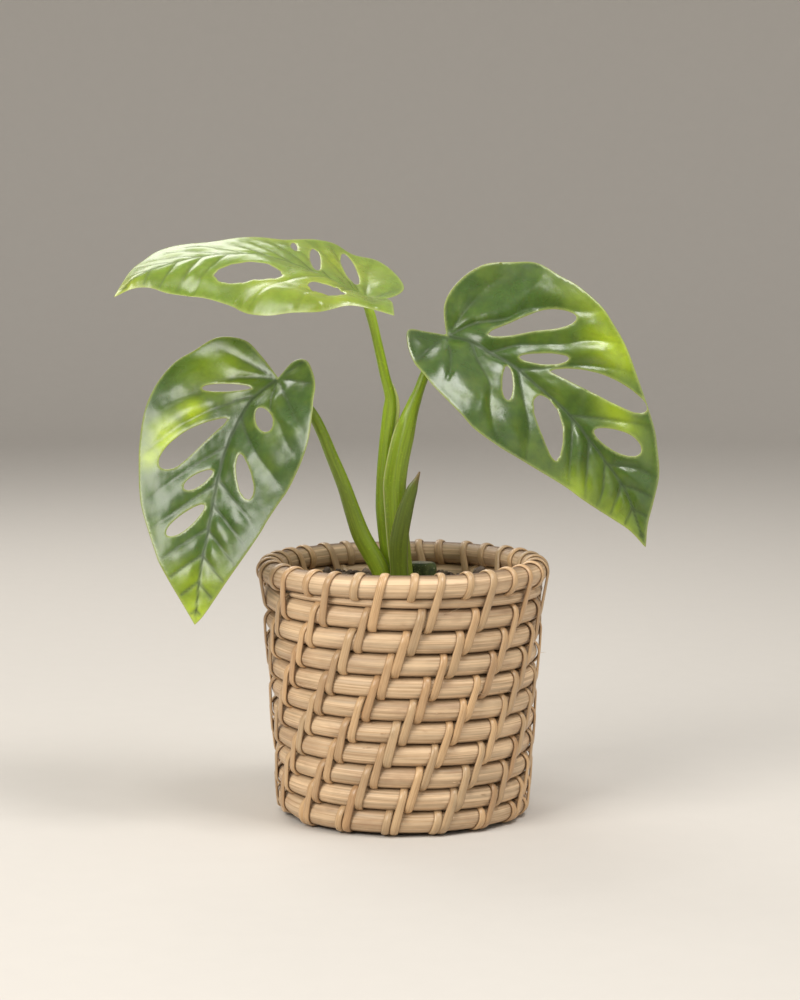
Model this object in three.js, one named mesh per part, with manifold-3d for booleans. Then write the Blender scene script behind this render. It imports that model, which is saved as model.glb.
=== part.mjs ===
// A young three-leaf Swiss cheese vine standing in a coiled cane basket.
// Millimetres, +Z up. The origin is the middle of the basket's underside, where it meets the table.
import * as THREE from "three";
import { mergeVertices } from "three/addons/utils/BufferGeometryUtils.js";
import Module from "manifold-3d";

const wasm = await Module();
wasm.setup();

const TURN = Math.PI * 2;
const GAP = 0.3; // clearance kept between pieces that touch
const LASH_CLEARANCE = 0.4; // slack of a lashing strip over the canes

// ---- Basket -------------------------------------------------------------------------------
const RIM_OUTER_RADIUS = 75;
const RIM_CANE_RADIUS = 5.9;
const RIM_HEIGHT = 127.7; // middle of the rim hoop's cane
const RIM_SEGMENTS = 40;
const RIM_CANE_SIDES = 12; // a multiple of four, so that a flat of it faces the wall

const WALL_CANE_RADIUS = 5.6;
const FOOT_OUTER_RADIUS = 64.8; // outside of the wall's lowest row
const WALL_TOP_INSET = 2.2; // the top row's outside stands this far inside the rim's outside
const WALL_LIFT = 1.8; // the lashings pass under the lowest row
const WALL_TURNS = 11 - 1 / 15; // how many times the wall's one long cane goes round
const WALL_START_ANGLE = (192 / 360) * TURN;
const WALL_START_THICKNESS = 2.6;
const WALL_END_THICKNESS = 2.6;
const STEPS_PER_TURN = 24;
const END_RAMP = 0.07; // share of a turn over which a row climbs over the cane's cut end
const WALL_TOP = RIM_HEIGHT - RIM_CANE_RADIUS - GAP;

const BASE_THICKNESS = 9;
const BASE_RINGS = 5;
const BASE_GROOVE = 2.2;

const LASHINGS = 16;
const STRIP_WIDTH = 4.6;
const STRIP_THICKNESS = 1.3;
const STRAND_LEAN = 0.58; // millimetres round the wall for each millimetre down
const FIRST_LASHING_ANGLE = (262 / 360) * TURN;
const WRAP_OFFSET = 0.53; // a short rim wrap sits this share of the way to the next long lashing

// ---- Soil and plant -----------------------------------------------------------------------
const SOIL_BELOW_RIM = 7.7; // from the middle of the rim hoop down to the soil
const SOIL_LEVEL = RIM_HEIGHT - SOIL_BELOW_RIM;
const SOIL_CLEARANCE = 2; // room for the lashings inside the wall
const STEM_FOOT = GAP; // the plant is measured up from the soil
const LEAF_THICKNESS = 0.8;
const VEIN_LEAN = 0.45; // how far the side veins lean towards the leaf's tip
const MIDRIB_STATIONS = 12;
const LOBE_RIBS = 7;
const RIB_COLUMNS = 3;
const HOLE_SIDES = 12;
const HOLE_REACH = 5; // half the length of the tool that cuts a hole

// Each leaf is laid along its midrib, from the petiole's joint to the tip. A half of the blade
// is given by its margin, as [along the midrib, out from the midrib], by the slope of the half
// against the leaf's facing at the base and at the tip, and by its camber. Right and left are
// seen from above the blade, looking to the tip. A hole is [along, out, length, width, turn in
// degrees away from the midrib, taper], and a taper above 0 makes it wider at its outer end.
const LEAVES = {
  left: {
    colour: "#4d7a3c",
    midrib: [
      [-64, -12, 107.5], [-76.8, -17, 97], [-83, -21, 88], [-90, -27, 72],
      [-94.7, -34, 53], [-98.5, -42, 31], [-101.3, -48, 16], [-104.5, -56, -12.5],
    ],
    facing: [[-0.38, -0.68, 0.59], [-0.14, -0.93, 0.3]],
    right: {
      rise: [0.25, 0.09],
      camber: 0.0002,
      margin: [
        [-1.5, 1.5], [-6, 7.5], [-12.5, 16.5], [-16.5, 25], [-16.5, 33], [-10, 44], [5, 51],
        [24.5, 49], [38, 48], [55, 44], [68.5, 40], [83.5, 35], [106, 23.5], [126, 8.5],
      ],
      holes: [
        [15.5, 16, 24, 6, 68, 0.1], [46.5, 18, 40, 11.5, 39, 0.45],
        [65, 9.5, 17, 6.5, 48, 0.2], [86.5, 12, 25, 8, 41, 0.2],
      ],
    },
    left: {
      rise: [0.24, 0.04],
      camber: 0.001,
      margin: [
        [-1.2, 1.4], [-7.5, 5.3], [-11.6, 9], [-11.5, 14], [-7.5, 19.5], [4, 30.5],
        [21.5, 43.5], [39.5, 47], [63.5, 41], [79, 33], [103, 21], [118, 12.7], [132, 4.5],
      ],
      holes: [[27.5, 15.5, 18, 9, 52, 0.15], [60.5, 15, 27, 9, 24, 0.2]],
    },
  },
  right: {
    colour: "#3f7a2c",
    midrib: [
      [22.5, 4, 128.6], [34, 0, 126.2], [44.2, -3, 120.2], [55.5, -5, 114.2], [67.3, -7, 104.5],
      [84.7, -9, 89.2], [105.3, -11, 62.9], [115.2, -12, 47.7], [124.5, -14, 21],
    ],
    facing: [[0.17, -0.69, 0.68], [0.28, -0.91, 0.3]],
    right: {
      rise: [0.26, 0.02],
      camber: 0.001,
      margin: [
        [-1.5, 1.5], [-6.5, 8], [-12.2, 14], [-14.7, 19.5], [-13.2, 24.5], [-5, 28.5], [12, 41],
        [24.5, 45], [41, 49.5], [53, 48], [68, 43.7], [88, 36.3], [107, 27.5], [126.7, 19],
        [138, 11.6], [147, 4.5],
      ],
      holes: [[43, 12, 23, 6.5, 55, 0.1], [75, 14.5, 38, 15, 32, -0.3]],
    },
    left: {
      rise: [0.34, 0.12],
      camber: -0.001,
      margin: [
        [-1.5, 1.5], [-7.5, 6], [-14, 12], [-16.7, 19], [-16.5, 27.5], [-15, 37], [-9, 46.5],
        [1, 53], [17.5, 53.5], [37, 53], [47, 53], [62.5, 50], [74.5, 45], [87, 38.5],
        [101, 33.5], [113.5, 28.5], [128, 18.5], [141, 7.3],
      ],
      holes: [
        [31, 23.5, 43, 11, 50, 0.25], [48, 13, 26, 6, 40, 0.1],
        [77, 22, 50, 11, 27, 0.35], [103, 11, 27, 11, 30, 0.2],
      ],
    },
  },
  top: {
    colour: "#86ad3f",
    midrib: [
      [-19.6, 1, 146.3], [-30.4, 2, 152.4], [-40.7, 3, 158.5], [-61.3, 4, 167.2],
      [-82.4, 4, 170.8], [-103.4, 2, 169.3], [-115.6, 0, 166.8], [-134.8, -4, 160.3],
      [-147.5, -8, 149.2],
    ],
    facing: [[0.64, 0.04, 0.88], [-0.25, -0.48, 0.8]],
    right: {
      rise: [0.26, -0.42],
      camber: -0.003,
      margin: [
        [-1.5, 1.5], [-11, 6], [-18, 14], [-22, 25.5], [-21, 31], [-16, 40], [-8, 49],
        [13, 49], [24, 49], [33, 45.7], [50, 35], [55, 30.5], [63.5, 31], [69, 28],
        [81.5, 25], [96, 28], [106, 29], [117.5, 21], [130, 9],
      ],
      holes: [
        [9, 31, 29, 12, 72, 0.1], [31, 20, 30, 7, 83, 0.1], [44, 28, 13, 4, 82, 0],
      ],
    },
    left: {
      rise: [0.3, -0.3],
      camber: 0.008,
      margin: [
        [-1.5, 1.5], [-6, 10], [-10, 21], [-12, 33], [-12.5, 44], [-10, 50], [-5, 45],
        [1, 38], [7, 40], [17, 47.5], [23.5, 52], [40, 53], [51, 53], [65.5, 46.5],
        [80.5, 37], [90, 31], [114, 17.5], [129, 5],
      ],
      holes: [[65.5, 22, 41, 17, -10, 0], [22, 32, 20, 13, 8, 0]],
    },
  },
};

// Each petiole's path, with the two half-widths of its oval section at every point: across the
// sheath, and through it.
const PETIOLES = {
  left: {
    colour: "#6f9a35",
    path: [
      [-9.3, -1.2, STEM_FOOT], [-12.5, -1.4, 9], [-21.8, -1.4, 26], [-30, -3, 50],
      [-37.1, -5.5, 68], [-45.3, -7.5, 87], [-55, -8.5, 99.5], [-62.8, -10.7, 105.8],
    ],
    half: [[4.6, 3.6], [4.9, 3.7], [4.8, 3.6], [3.7, 3.2], [3.2, 2.9], [2.8, 2.6], [2.4, 2.3],
      [1.7, 1.7]],
  },
  middle: {
    colour: "#8fb544",
    path: [
      [-5.2, 7.6, STEM_FOOT], [-8.6, 7, 25], [-10.4, 5.4, 42], [-8.7, 4.4, 74],
      [-6.9, 3.6, 90], [-6.6, 3, 97], [-9.3, 3, 108], [-14, 2.2, 129], [-16.8, 1.4, 140],
      [-18.8, 1.1, 144.3],
    ],
    half: [[4.6, 3.6], [4.4, 3.2], [3.9, 3], [3.6, 2.9], [3.6, 2.8], [2.9, 2.6], [2.6, 2.5],
      [2.4, 2.3], [2.5, 2.4], [1.8, 1.8]],
  },
  right: {
    colour: "#7fa63c",
    path: [
      [0.9, -1, STEM_FOOT], [-1.6, -1.3, 15], [-3.8, -1.8, 40], [-4.2, -1.8, 54],
      [0.2, -0.8, 77], [4.5, 0.8, 91], [8.4, 3.4, 101], [12.4, 6, 111], [17.5, 6.8, 120],
      [21.6, 5.4, 126.9],
    ],
    half: [[4.9, 3.7], [5.9, 3.6], [6, 3.5], [6, 3.4], [5.6, 3.2], [3.8, 2.9], [2.7, 2.6],
      [2.5, 2.4], [2.4, 2.2], [1.6, 1.6]],
  },
};
const PETIOLE_SIDES = 10;

const BRACT_PATH = [[-1.6, -7.6, STEM_FOOT], [-2.2, -8.2, 22], [0.8, -8.8, 38],
  [4.6, -9.2, 50], [7, -9.3, 55.5], [8.6, -9.4, 59.5]];
const BRACT_HALF = [[4.6, 1.6], [4.9, 1.7], [4.2, 1.5], [2.9, 1.2], [1.3, 0.8], [0.4, 0.4]];

const STUMP_CENTRE = [8.8, 14.5];
const STUMP_RADII = [9, 6];
const STUMP_HEIGHT = 9.5;

// ---- Shared shapes ------------------------------------------------------------------------
function vec(p) {
  return new THREE.Vector3(p[0], p[1], p[2]);
}

function polar(radius, angle, z) {
  return new THREE.Vector3(radius * Math.cos(angle), radius * Math.sin(angle), z);
}

function signedVolume(points, faces) {
  let sum = 0;
  const cross = new THREE.Vector3();
  for (const [a, b, c] of faces) {
    sum += points[a].dot(cross.crossVectors(points[b], points[c]));
  }
  return sum / 6;
}

// A closed geometry from points and triangles, with its faces turned out.
function geometryFrom(points, faces) {
  const outward = signedVolume(points, faces) > 0;
  const index = faces.flatMap(([a, b, c]) => (outward ? [a, b, c] : [a, c, b]));
  const geometry = new THREE.BufferGeometry().setFromPoints(points);
  geometry.setIndex(index);
  return geometry;
}

// Joins rings of points, each with the same count, into a closed skin.
function loft(rings, isLoop = false) {
  const n = rings[0].length;
  const points = rings.flat();
  const faces = [];
  const spans = isLoop ? rings.length : rings.length - 1;
  for (let i = 0; i < spans; i++) {
    const here = i * n;
    const next = ((i + 1) % rings.length) * n;
    for (let j = 0; j < n; j++) {
      const k = (j + 1) % n;
      faces.push([here + j, here + k, next + k], [here + j, next + k, next + j]);
    }
  }
  if (!isLoop) {
    const last = (rings.length - 1) * n;
    for (let j = 1; j < n - 1; j++) {
      faces.push([0, j + 1, j], [last, last + j, last + j + 1]);
    }
  }
  return geometryFrom(points, faces);
}

// A ring of points round `centre`, on an oval or a box, in the plane of `across` and `through`.
function ringAt(centre, across, through, halfAcross, halfThrough, sides) {
  const flat = 1 / Math.cos(Math.PI / sides);
  return Array.from({ length: sides }, (_, j) => {
    const a = ((j + 0.5) / sides) * TURN;
    return centre
      .clone()
      .addScaledVector(across, Math.cos(a) * halfAcross * flat)
      .addScaledVector(through, Math.sin(a) * halfThrough * flat);
  });
}

function smoothstep(from, to, x) {
  return THREE.MathUtils.smoothstep(x, from, to);
}

function solid(geometry) {
  const bare = mergeVertices(geometry, 1e-4);
  return new wasm.Manifold(
    new wasm.Mesh({
      numProp: 3,
      vertProperties: bare.attributes.position.array,
      triVerts: new Uint32Array(bare.index.array),
    }),
  );
}

function geometryOf(made) {
  const mesh = made.getMesh();
  const geometry = new THREE.BufferGeometry();
  geometry.setAttribute("position", new THREE.BufferAttribute(mesh.vertProperties, 3));
  geometry.setIndex(new THREE.BufferAttribute(mesh.triVerts, 1));
  return geometry;
}

// ---- Basket -------------------------------------------------------------------------------
const RIM_RADIUS = RIM_OUTER_RADIUS - RIM_CANE_RADIUS;
const WALL_FOOT_RADIUS = FOOT_OUTER_RADIUS - WALL_CANE_RADIUS;
const WALL_TOP_RADIUS = RIM_OUTER_RADIUS - WALL_TOP_INSET - WALL_CANE_RADIUS;
const WALL_PITCH =
  (WALL_TOP - WALL_LIFT - WALL_START_THICKNESS - WALL_END_THICKNESS) / (WALL_TURNS - 1);

// Radius of the middle of the wall's cane at a height.
function wallRadius(z) {
  const share = (z - WALL_LIFT) / (WALL_TOP - WALL_LIFT);
  return WALL_FOOT_RADIUS + (WALL_TOP_RADIUS - WALL_FOOT_RADIUS) * share;
}

// Height of the underside of the wall's cane after some turns.
function rowUnderside(turns) {
  if (turns < 1) {
    return WALL_LIFT + WALL_START_THICKNESS * smoothstep(1 - END_RAMP, 1, turns);
  }
  return WALL_LIFT + WALL_START_THICKNESS + WALL_PITCH * (turns - 1);
}

// Height of its top: the underside of the next row, or the rim's underside in the last turn.
function rowTop(turns) {
  const next = rowUnderside(turns + 1) - GAP;
  const last = WALL_TURNS - 1;
  if (turns <= last) return next;
  const rise = smoothstep(last, last + END_RAMP, turns);
  return THREE.MathUtils.lerp(rowUnderside(last + 1) - GAP, WALL_TOP, rise);
}

function rimHoop() {
  const up = new THREE.Vector3(0, 0, 1);
  const rings = Array.from({ length: RIM_SEGMENTS }, (_, i) => {
    const angle = (i / RIM_SEGMENTS) * TURN;
    const centre = polar(RIM_RADIUS, angle, RIM_HEIGHT);
    return ringAt(centre, polar(1, angle, 0), up, RIM_CANE_RADIUS, RIM_CANE_RADIUS,
      RIM_CANE_SIDES);
  });
  return loft(rings, true);
}

// The one long cane that climbs clockwise and makes the whole wall. It starts and ends as a
// wedge, so that the wall stands level and the rim lies level on it.
function wallCoil() {
  const up = new THREE.Vector3(0, 0, 1);
  const steps = Math.round(WALL_TURNS * STEPS_PER_TURN);
  const rings = [];
  for (let i = 0; i <= steps; i++) {
    const turns = i / STEPS_PER_TURN;
    const angle = WALL_START_ANGLE - turns * TURN;
    const low = rowUnderside(turns);
    const high = rowTop(turns);
    const middle = (low + high) / 2;
    const half = (high - low) / 2;
    const endways = Math.min(turns, WALL_TURNS - turns);
    const across = WALL_CANE_RADIUS * (0.6 + 0.4 * smoothstep(0, 0.35, endways));
    const radius = wallRadius(middle) + (WALL_CANE_RADIUS - across) * 0.6;
    rings.push(ringAt(polar(radius, angle, middle), polar(1, angle, 0), up, across, half, 8));
  }
  return loft(rings);
}

// The coiled bottom, simplified to rings of cane that are joined side to side.
function baseCoil() {
  const outer = WALL_FOOT_RADIUS - WALL_CANE_RADIUS - GAP;
  const ring = outer / BASE_RINGS;
  const under = [[0, 0]];
  const over = [];
  for (let i = 0; i < BASE_RINGS; i++) {
    const start = i * ring;
    if (i > 0) {
      under.push([start, BASE_GROOVE], [start + ring * 0.3, 0]);
      over.push([start, BASE_THICKNESS - BASE_GROOVE], [start + ring * 0.3, BASE_THICKNESS]);
    } else {
      over.push([0, BASE_THICKNESS]);
    }
    const shoulder = i < BASE_RINGS - 1 ? 0.7 : 0.8;
    under.push([start + ring * shoulder, 0]);
    over.push([start + ring * shoulder, BASE_THICKNESS]);
  }
  under.push([outer, BASE_GROOVE]);
  over.push([outer, BASE_THICKNESS - BASE_GROOVE]);
  const profile = [...under, ...over.reverse()].map(([r, z]) => new THREE.Vector2(r, z));
  const lathe = new THREE.LatheGeometry(profile, 24);
  lathe.rotateX(Math.PI / 2);
  return closedLathe(lathe);
}

// A lathe's skin welded shut, with its poles' empty triangles left out and its faces out.
function closedLathe(lathe) {
  lathe.deleteAttribute("normal");
  lathe.deleteAttribute("uv");
  const welded = mergeVertices(lathe, 1e-4);
  const at = welded.attributes.position;
  const points = Array.from({ length: at.count }, (_, i) =>
    new THREE.Vector3().fromBufferAttribute(at, i));
  const faces = [];
  for (let i = 0; i < welded.index.count; i += 3) {
    const [a, b, c] = [0, 1, 2].map((k) => welded.index.getX(i + k));
    if (a !== b && b !== c && c !== a) faces.push([a, b, c]);
  }
  return geometryFrom(points, faces);
}

function soil() {
  const top = wallRadius(SOIL_LEVEL) - WALL_CANE_RADIUS - SOIL_CLEARANCE;
  const foot = wallRadius(BASE_THICKNESS) - WALL_CANE_RADIUS - SOIL_CLEARANCE;
  const floor = BASE_THICKNESS + GAP;
  const profile = [
    [0, floor], [foot - 1, floor], [foot, floor + 2], [top, SOIL_LEVEL - 4],
    [top - 2, SOIL_LEVEL - 0.6], [top - 9, SOIL_LEVEL], [0, SOIL_LEVEL],
  ].map(([r, z]) => new THREE.Vector2(r, z));
  const lathe = new THREE.LatheGeometry(profile, 30);
  lathe.rotateX(Math.PI / 2);
  return closedLathe(lathe);
}

// A flat strip whose middle runs through points given as [radius, height, angle, tilt], where
// the tilt is the direction that its outer face looks in, from outwards (0) to up (a quarter).
function strip(stations) {
  const centres = stations.map(([radius, z, angle]) => polar(radius, angle, z));
  const rings = stations.map(([, , angle, tilt], i) => {
    const before = centres[Math.max(i - 1, 0)];
    const after = centres[Math.min(i + 1, centres.length - 1)];
    const along = after.clone().sub(before).normalize();
    const face = polar(Math.cos(tilt), angle, Math.sin(tilt));
    const across = new THREE.Vector3().crossVectors(face, along).normalize();
    face.crossVectors(along, across);
    return [[-1, -1], [1, -1], [1, 1], [-1, 1]].map(([a, t]) =>
      centres[i]
        .clone()
        .addScaledVector(across, (a * STRIP_WIDTH) / 2)
        .addScaledVector(face, (t * STRIP_THICKNESS) / 2));
  });
  return loft(rings);
}

// Stations of a strip that lies round the rim's cane, from one tilt to another.
function overRim(angle, from, to, count) {
  const step = (to - from) / (count - 1);
  const corner = RIM_CANE_RADIUS / Math.cos(Math.PI / RIM_CANE_SIDES);
  const reach = (corner + LASH_CLEARANCE + STRIP_THICKNESS / 2) / Math.cos(step / 2);
  return Array.from({ length: count }, (_, i) => {
    const tilt = from + step * i;
    const radius = RIM_RADIUS + reach * Math.cos(tilt);
    return [radius, RIM_HEIGHT + reach * Math.sin(tilt), angle, tilt];
  });
}

// A long lashing: it hooks over the rim from the inside and runs down the wall aslant.
function lashingStrand(angle) {
  const hook = overRim(angle, TURN * 0.53, -TURN * 0.03, 8);
  const rows = 6;
  const high = WALL_TOP - 3;
  const low = WALL_LIFT + STRIP_THICKNESS;
  const slope = (WALL_TOP_RADIUS - WALL_FOOT_RADIUS) / (WALL_TOP - WALL_LIFT);
  for (let i = 0; i <= rows; i++) {
    const z = high + ((low - high) * i) / rows;
    const radius = wallRadius(z) + WALL_CANE_RADIUS + LASH_CLEARANCE + STRIP_THICKNESS / 2 + 0.4;
    const shift = ((RIM_HEIGHT - z) * STRAND_LEAN) / wallRadius(RIM_HEIGHT / 2);
    hook.push([radius, z, angle - shift, -Math.atan(slope)]);
  }
  return strip(hook);
}

function rimWrap(angle) {
  return strip(overRim(angle, TURN * 0.6, -TURN * 0.11, 11));
}

// ---- Plant --------------------------------------------------------------------------------
// The blade's surface: gives the point and the facing at any [along, out] of one half.
function bladeOf(leaf) {
  const curve = new THREE.CatmullRomCurve3(leaf.midrib.map(vec));
  const length = curve.getLength();
  const heading = vec(leaf.midrib.at(-1)).sub(vec(leaf.midrib[0])).normalize();
  const [baseFacing, tipFacing] = leaf.facing.map(vec);
  const on = (along, out, side) => {
    const share = THREE.MathUtils.clamp(along / length, 0, 1);
    const point = curve.getPointAt(share);
    const ahead = heading.clone().lerp(curve.getTangentAt(share), Math.min(share * 2, 1));
    ahead.normalize();
    point.addScaledVector(ahead, along - share * length);
    const facing = baseFacing.clone().lerp(tipFacing, share);
    facing.addScaledVector(ahead, -facing.dot(ahead)).normalize();
    const rightward = new THREE.Vector3().crossVectors(ahead, facing);
    const half = leaf[side];
    const slope = THREE.MathUtils.lerp(half.rise[0], half.rise[1], share);
    const back = Math.min(along, 0);
    const lift = slope * out - half.camber * out * out - 0.002 * back * back;
    point.addScaledVector(rightward, side === "right" ? out : -out);
    point.addScaledVector(facing, lift);
    return { point, facing };
  };
  return { length, on };
}

// The ribs of one half of the blade: each runs from [root, 0] on the midrib to the margin. The
// first ones fan out from the petiole's joint into the lobe.
function ribsOf(leaf, side, length) {
  const marks = [...leaf[side].margin, [length, 0]].map(([a, o]) => new THREE.Vector3(a, o, 0));
  const edge = new THREE.CatmullRomCurve3(marks).getSpacedPoints(240);
  const rootOf = (p) => p.x - VEIN_LEAN * p.y;
  const turnAt = edge.findLastIndex((p) => rootOf(p) <= 0);
  const ribs = [];
  for (let i = 0; i < LOBE_RIBS; i++) {
    const p = edge[Math.round((turnAt * i) / (LOBE_RIBS - 1))];
    ribs.push({ root: 0, end: [p.x, p.y] });
  }
  for (let i = 1; i < MIDRIB_STATIONS; i++) {
    const root = (length * i) / MIDRIB_STATIONS;
    const p = edge.find((q, j) => j > turnAt && rootOf(q) >= root);
    ribs.push({ root, end: [p.x, p.y] });
  }
  return ribs;
}

// The closed prism that cuts one hole.
function holeTool(blade, side, [along, out, long, wide, turn, taper]) {
  const angle = THREE.MathUtils.degToRad(turn);
  const rings = [-HOLE_REACH, HOLE_REACH].map((reach) =>
    Array.from({ length: HOLE_SIDES }, (_, i) => {
      const a = (i / HOLE_SIDES) * TURN;
      const x = (Math.cos(a) * long) / 2;
      const y = ((Math.sin(a) * wide) / 2) * (1 + taper * Math.cos(a));
      const { point, facing } = blade.on(
        along + x * Math.cos(angle) - y * Math.sin(angle),
        out + x * Math.sin(angle) + y * Math.cos(angle),
        side,
      );
      return point.addScaledVector(facing, reach);
    }));
  return solid(loft(rings));
}

function leafBlade(leaf) {
  const blade = bladeOf(leaf);
  const points = [];
  const faces = [];
  const known = new Map();
  // A vertex of the upper (+1) or the lower (-1) skin.
  const vertex = (along, out, side, skin) => {
    const key = [along.toFixed(4), out.toFixed(4), out === 0 ? "" : side, skin].join();
    if (!known.has(key)) {
      const { point, facing } = blade.on(along, out, side);
      known.set(key, points.length);
      points.push(point.addScaledVector(facing, (skin * LEAF_THICKNESS) / 2));
    }
    return known.get(key);
  };
  const quad = (a, b, c, d) => {
    for (const face of [[a, b, c], [a, c, d]]) {
      if (new Set(face).size === 3) faces.push(face);
    }
  };
  const { length } = blade;
  for (const side of ["right", "left"]) {
    const ribs = ribsOf(leaf, side, length);
    ribs.push({ root: length, end: [length, 0] });
    const along = ({ root, end }, k) => {
      const share = k / RIB_COLUMNS;
      return [root + (end[0] - root) * share, end[1] * share];
    };
    for (const skin of [1, -1]) {
      const at = (rib, k) => vertex(...along(rib, k), side, skin);
      const isFlipped = (skin > 0) !== (side === "right");
      for (let i = 0; i + 1 < ribs.length; i++) {
        for (let k = 0; k < RIB_COLUMNS; k++) {
          const corners = [at(ribs[i], k), at(ribs[i + 1], k), at(ribs[i + 1], k + 1),
            at(ribs[i], k + 1)];
          quad(...(isFlipped ? corners.reverse() : corners));
        }
      }
    }
    // The cut edge: up the notch beside the petiole, then round the margin to the tip.
    const rim = [];
    for (let k = 0; k <= RIB_COLUMNS; k++) rim.push(along(ribs[0], k));
    for (let i = 1; i < ribs.length; i++) rim.push(along(ribs[i], RIB_COLUMNS));
    for (let i = 0; i + 1 < rim.length; i++) {
      const wall = [
        vertex(...rim[i], side, 1), vertex(...rim[i + 1], side, 1),
        vertex(...rim[i + 1], side, -1), vertex(...rim[i], side, -1),
      ];
      quad(...(side === "right" ? wall : wall.reverse()));
    }
  }
  let made = solid(geometryFrom(points, faces));
  for (const side of ["right", "left"]) {
    for (const hole of leaf[side].holes) made = made.subtract(holeTool(blade, side, hole));
  }
  return geometryOf(made);
}

// A stalk with an oval section that changes along its path. Its foot is cut level.
function stalk(path, half, sides, wide = new THREE.Vector3(1, 0, 0)) {
  const curve = new THREE.CatmullRomCurve3(path.map(vec));
  const steps = (path.length - 1) * 2;
  const rings = [];
  for (let i = 0; i <= steps; i++) {
    const share = i / steps;
    const spot = share * (path.length - 1);
    const before = half[Math.floor(spot)];
    const after = half[Math.ceil(spot)];
    const blend = spot - Math.floor(spot);
    const along = curve.getTangent(share);
    if (i === 0) along.set(0, 0, 1);
    const across = wide.clone().addScaledVector(along, -wide.dot(along)).normalize();
    const through = new THREE.Vector3().crossVectors(along, across);
    rings.push(ringAt(
      curve.getPoint(share), across, through,
      THREE.MathUtils.lerp(before[0], after[0], blend),
      THREE.MathUtils.lerp(before[1], after[1], blend), sides,
    ));
  }
  return loft(rings);
}

// What is left of the mother plant's stem, cut off flat behind the young shoots.
function stemStump() {
  const [x, y] = STUMP_CENTRE;
  const levels = [[0, 1], [0.75, 0.98], [1, 0.84]];
  const across = new THREE.Vector3(1, 0, 0);
  const through = new THREE.Vector3(0, 1, 0);
  return loft(levels.map(([share, width]) => {
    const centre = new THREE.Vector3(x, y, STEM_FOOT + STUMP_HEIGHT * share);
    return ringAt(centre, across, through, STUMP_RADII[0] * width, STUMP_RADII[1] * width, 14);
  }));
}

// ---- Assembly -----------------------------------------------------------------------------
const FINISHES = {
  cane: { color: "#cda878", roughness: 0.62 },
  strip: { color: "#b98a55", roughness: 0.5 },
  soil: { color: "#4a3a2c", roughness: 0.95 },
  stump: { color: "#3f4a2a", roughness: 0.8 },
  bract: { color: "#7d8f3a", roughness: 0.6 },
};

const plant = new THREE.Group();
plant.name = "potted_cheese_vine";
const basket = new THREE.Group();
const shoots = new THREE.Group();
shoots.position.z = SOIL_LEVEL;
plant.add(basket, shoots);

function add(group, name, geometry, { color, roughness }) {
  geometry.computeVertexNormals();
  const material = new THREE.MeshStandardMaterial({ color, roughness, metalness: 0 });
  const mesh = new THREE.Mesh(geometry, material);
  mesh.name = name;
  group.add(mesh);
}

function numbered(name, i) {
  return name + "_" + String(i + 1).padStart(2, "0");
}

add(basket, "base_coil", baseCoil(), FINISHES.cane);
add(basket, "wall_coil", wallCoil(), FINISHES.cane);
add(basket, "rim_hoop", rimHoop(), FINISHES.cane);
for (let i = 0; i < LASHINGS; i++) {
  const angle = FIRST_LASHING_ANGLE + (i / LASHINGS) * TURN;
  add(basket, numbered("lashing", i), lashingStrand(angle), FINISHES.strip);
  const between = angle + (WRAP_OFFSET / LASHINGS) * TURN;
  add(basket, numbered("rim_wrap", i), rimWrap(between), FINISHES.strip);
}
add(basket, "soil", soil(), FINISHES.soil);
add(shoots, "stem_stump", stemStump(), FINISHES.stump);
add(shoots, "bract", stalk(BRACT_PATH, BRACT_HALF, 8), FINISHES.bract);
for (const [name, { path, half, colour }] of Object.entries(PETIOLES)) {
  const finish = { color: colour, roughness: 0.5 };
  add(shoots, "petiole_" + name, stalk(path, half, PETIOLE_SIDES), finish);
}
for (const [name, leaf] of Object.entries(LEAVES)) {
  add(shoots, "leaf_" + name, leafBlade(leaf), { color: leaf.colour, roughness: 0.4 });
}

export default plant;
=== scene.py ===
import math

import bpy
import numpy as np
from bpy.props import FloatProperty, FloatVectorProperty, IntProperty, PointerProperty
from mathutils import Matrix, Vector
from mathutils.geometry import delaunay_2d_cdt


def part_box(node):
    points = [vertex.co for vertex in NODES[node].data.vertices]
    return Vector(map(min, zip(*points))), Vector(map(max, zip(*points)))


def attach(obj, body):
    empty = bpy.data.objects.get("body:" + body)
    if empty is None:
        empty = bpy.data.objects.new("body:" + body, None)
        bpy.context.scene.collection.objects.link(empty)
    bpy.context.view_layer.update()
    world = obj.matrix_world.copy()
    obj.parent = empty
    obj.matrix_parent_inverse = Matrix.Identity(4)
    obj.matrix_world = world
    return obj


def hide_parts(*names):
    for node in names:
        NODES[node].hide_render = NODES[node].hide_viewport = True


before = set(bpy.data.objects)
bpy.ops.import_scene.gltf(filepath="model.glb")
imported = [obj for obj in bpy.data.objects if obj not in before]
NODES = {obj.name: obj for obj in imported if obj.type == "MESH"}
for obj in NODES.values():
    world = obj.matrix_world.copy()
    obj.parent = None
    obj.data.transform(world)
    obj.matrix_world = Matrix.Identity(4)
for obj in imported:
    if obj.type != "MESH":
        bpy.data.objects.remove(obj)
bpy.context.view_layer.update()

bl_info = {
    "name": "Potted Cheese Vine",
    "version": (1, 0, 0),
    "blender": (4, 5, 0),
    "location": "3D View > Sidebar > Cheese Vine",
    "description": "A three-leaf Swiss cheese vine in a coiled cane basket",
    "category": "Add Mesh",
}

TURN = math.tau
MM = 0.001


# ---- Basket's measures, taken from the frame ----------------------------------------------
def half_width(node):
    low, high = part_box(node)
    return (high.x - low.x) / 2


def node_bottom(node):
    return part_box(node)[0].z


def node_top(node):
    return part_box(node)[1].z


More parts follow.
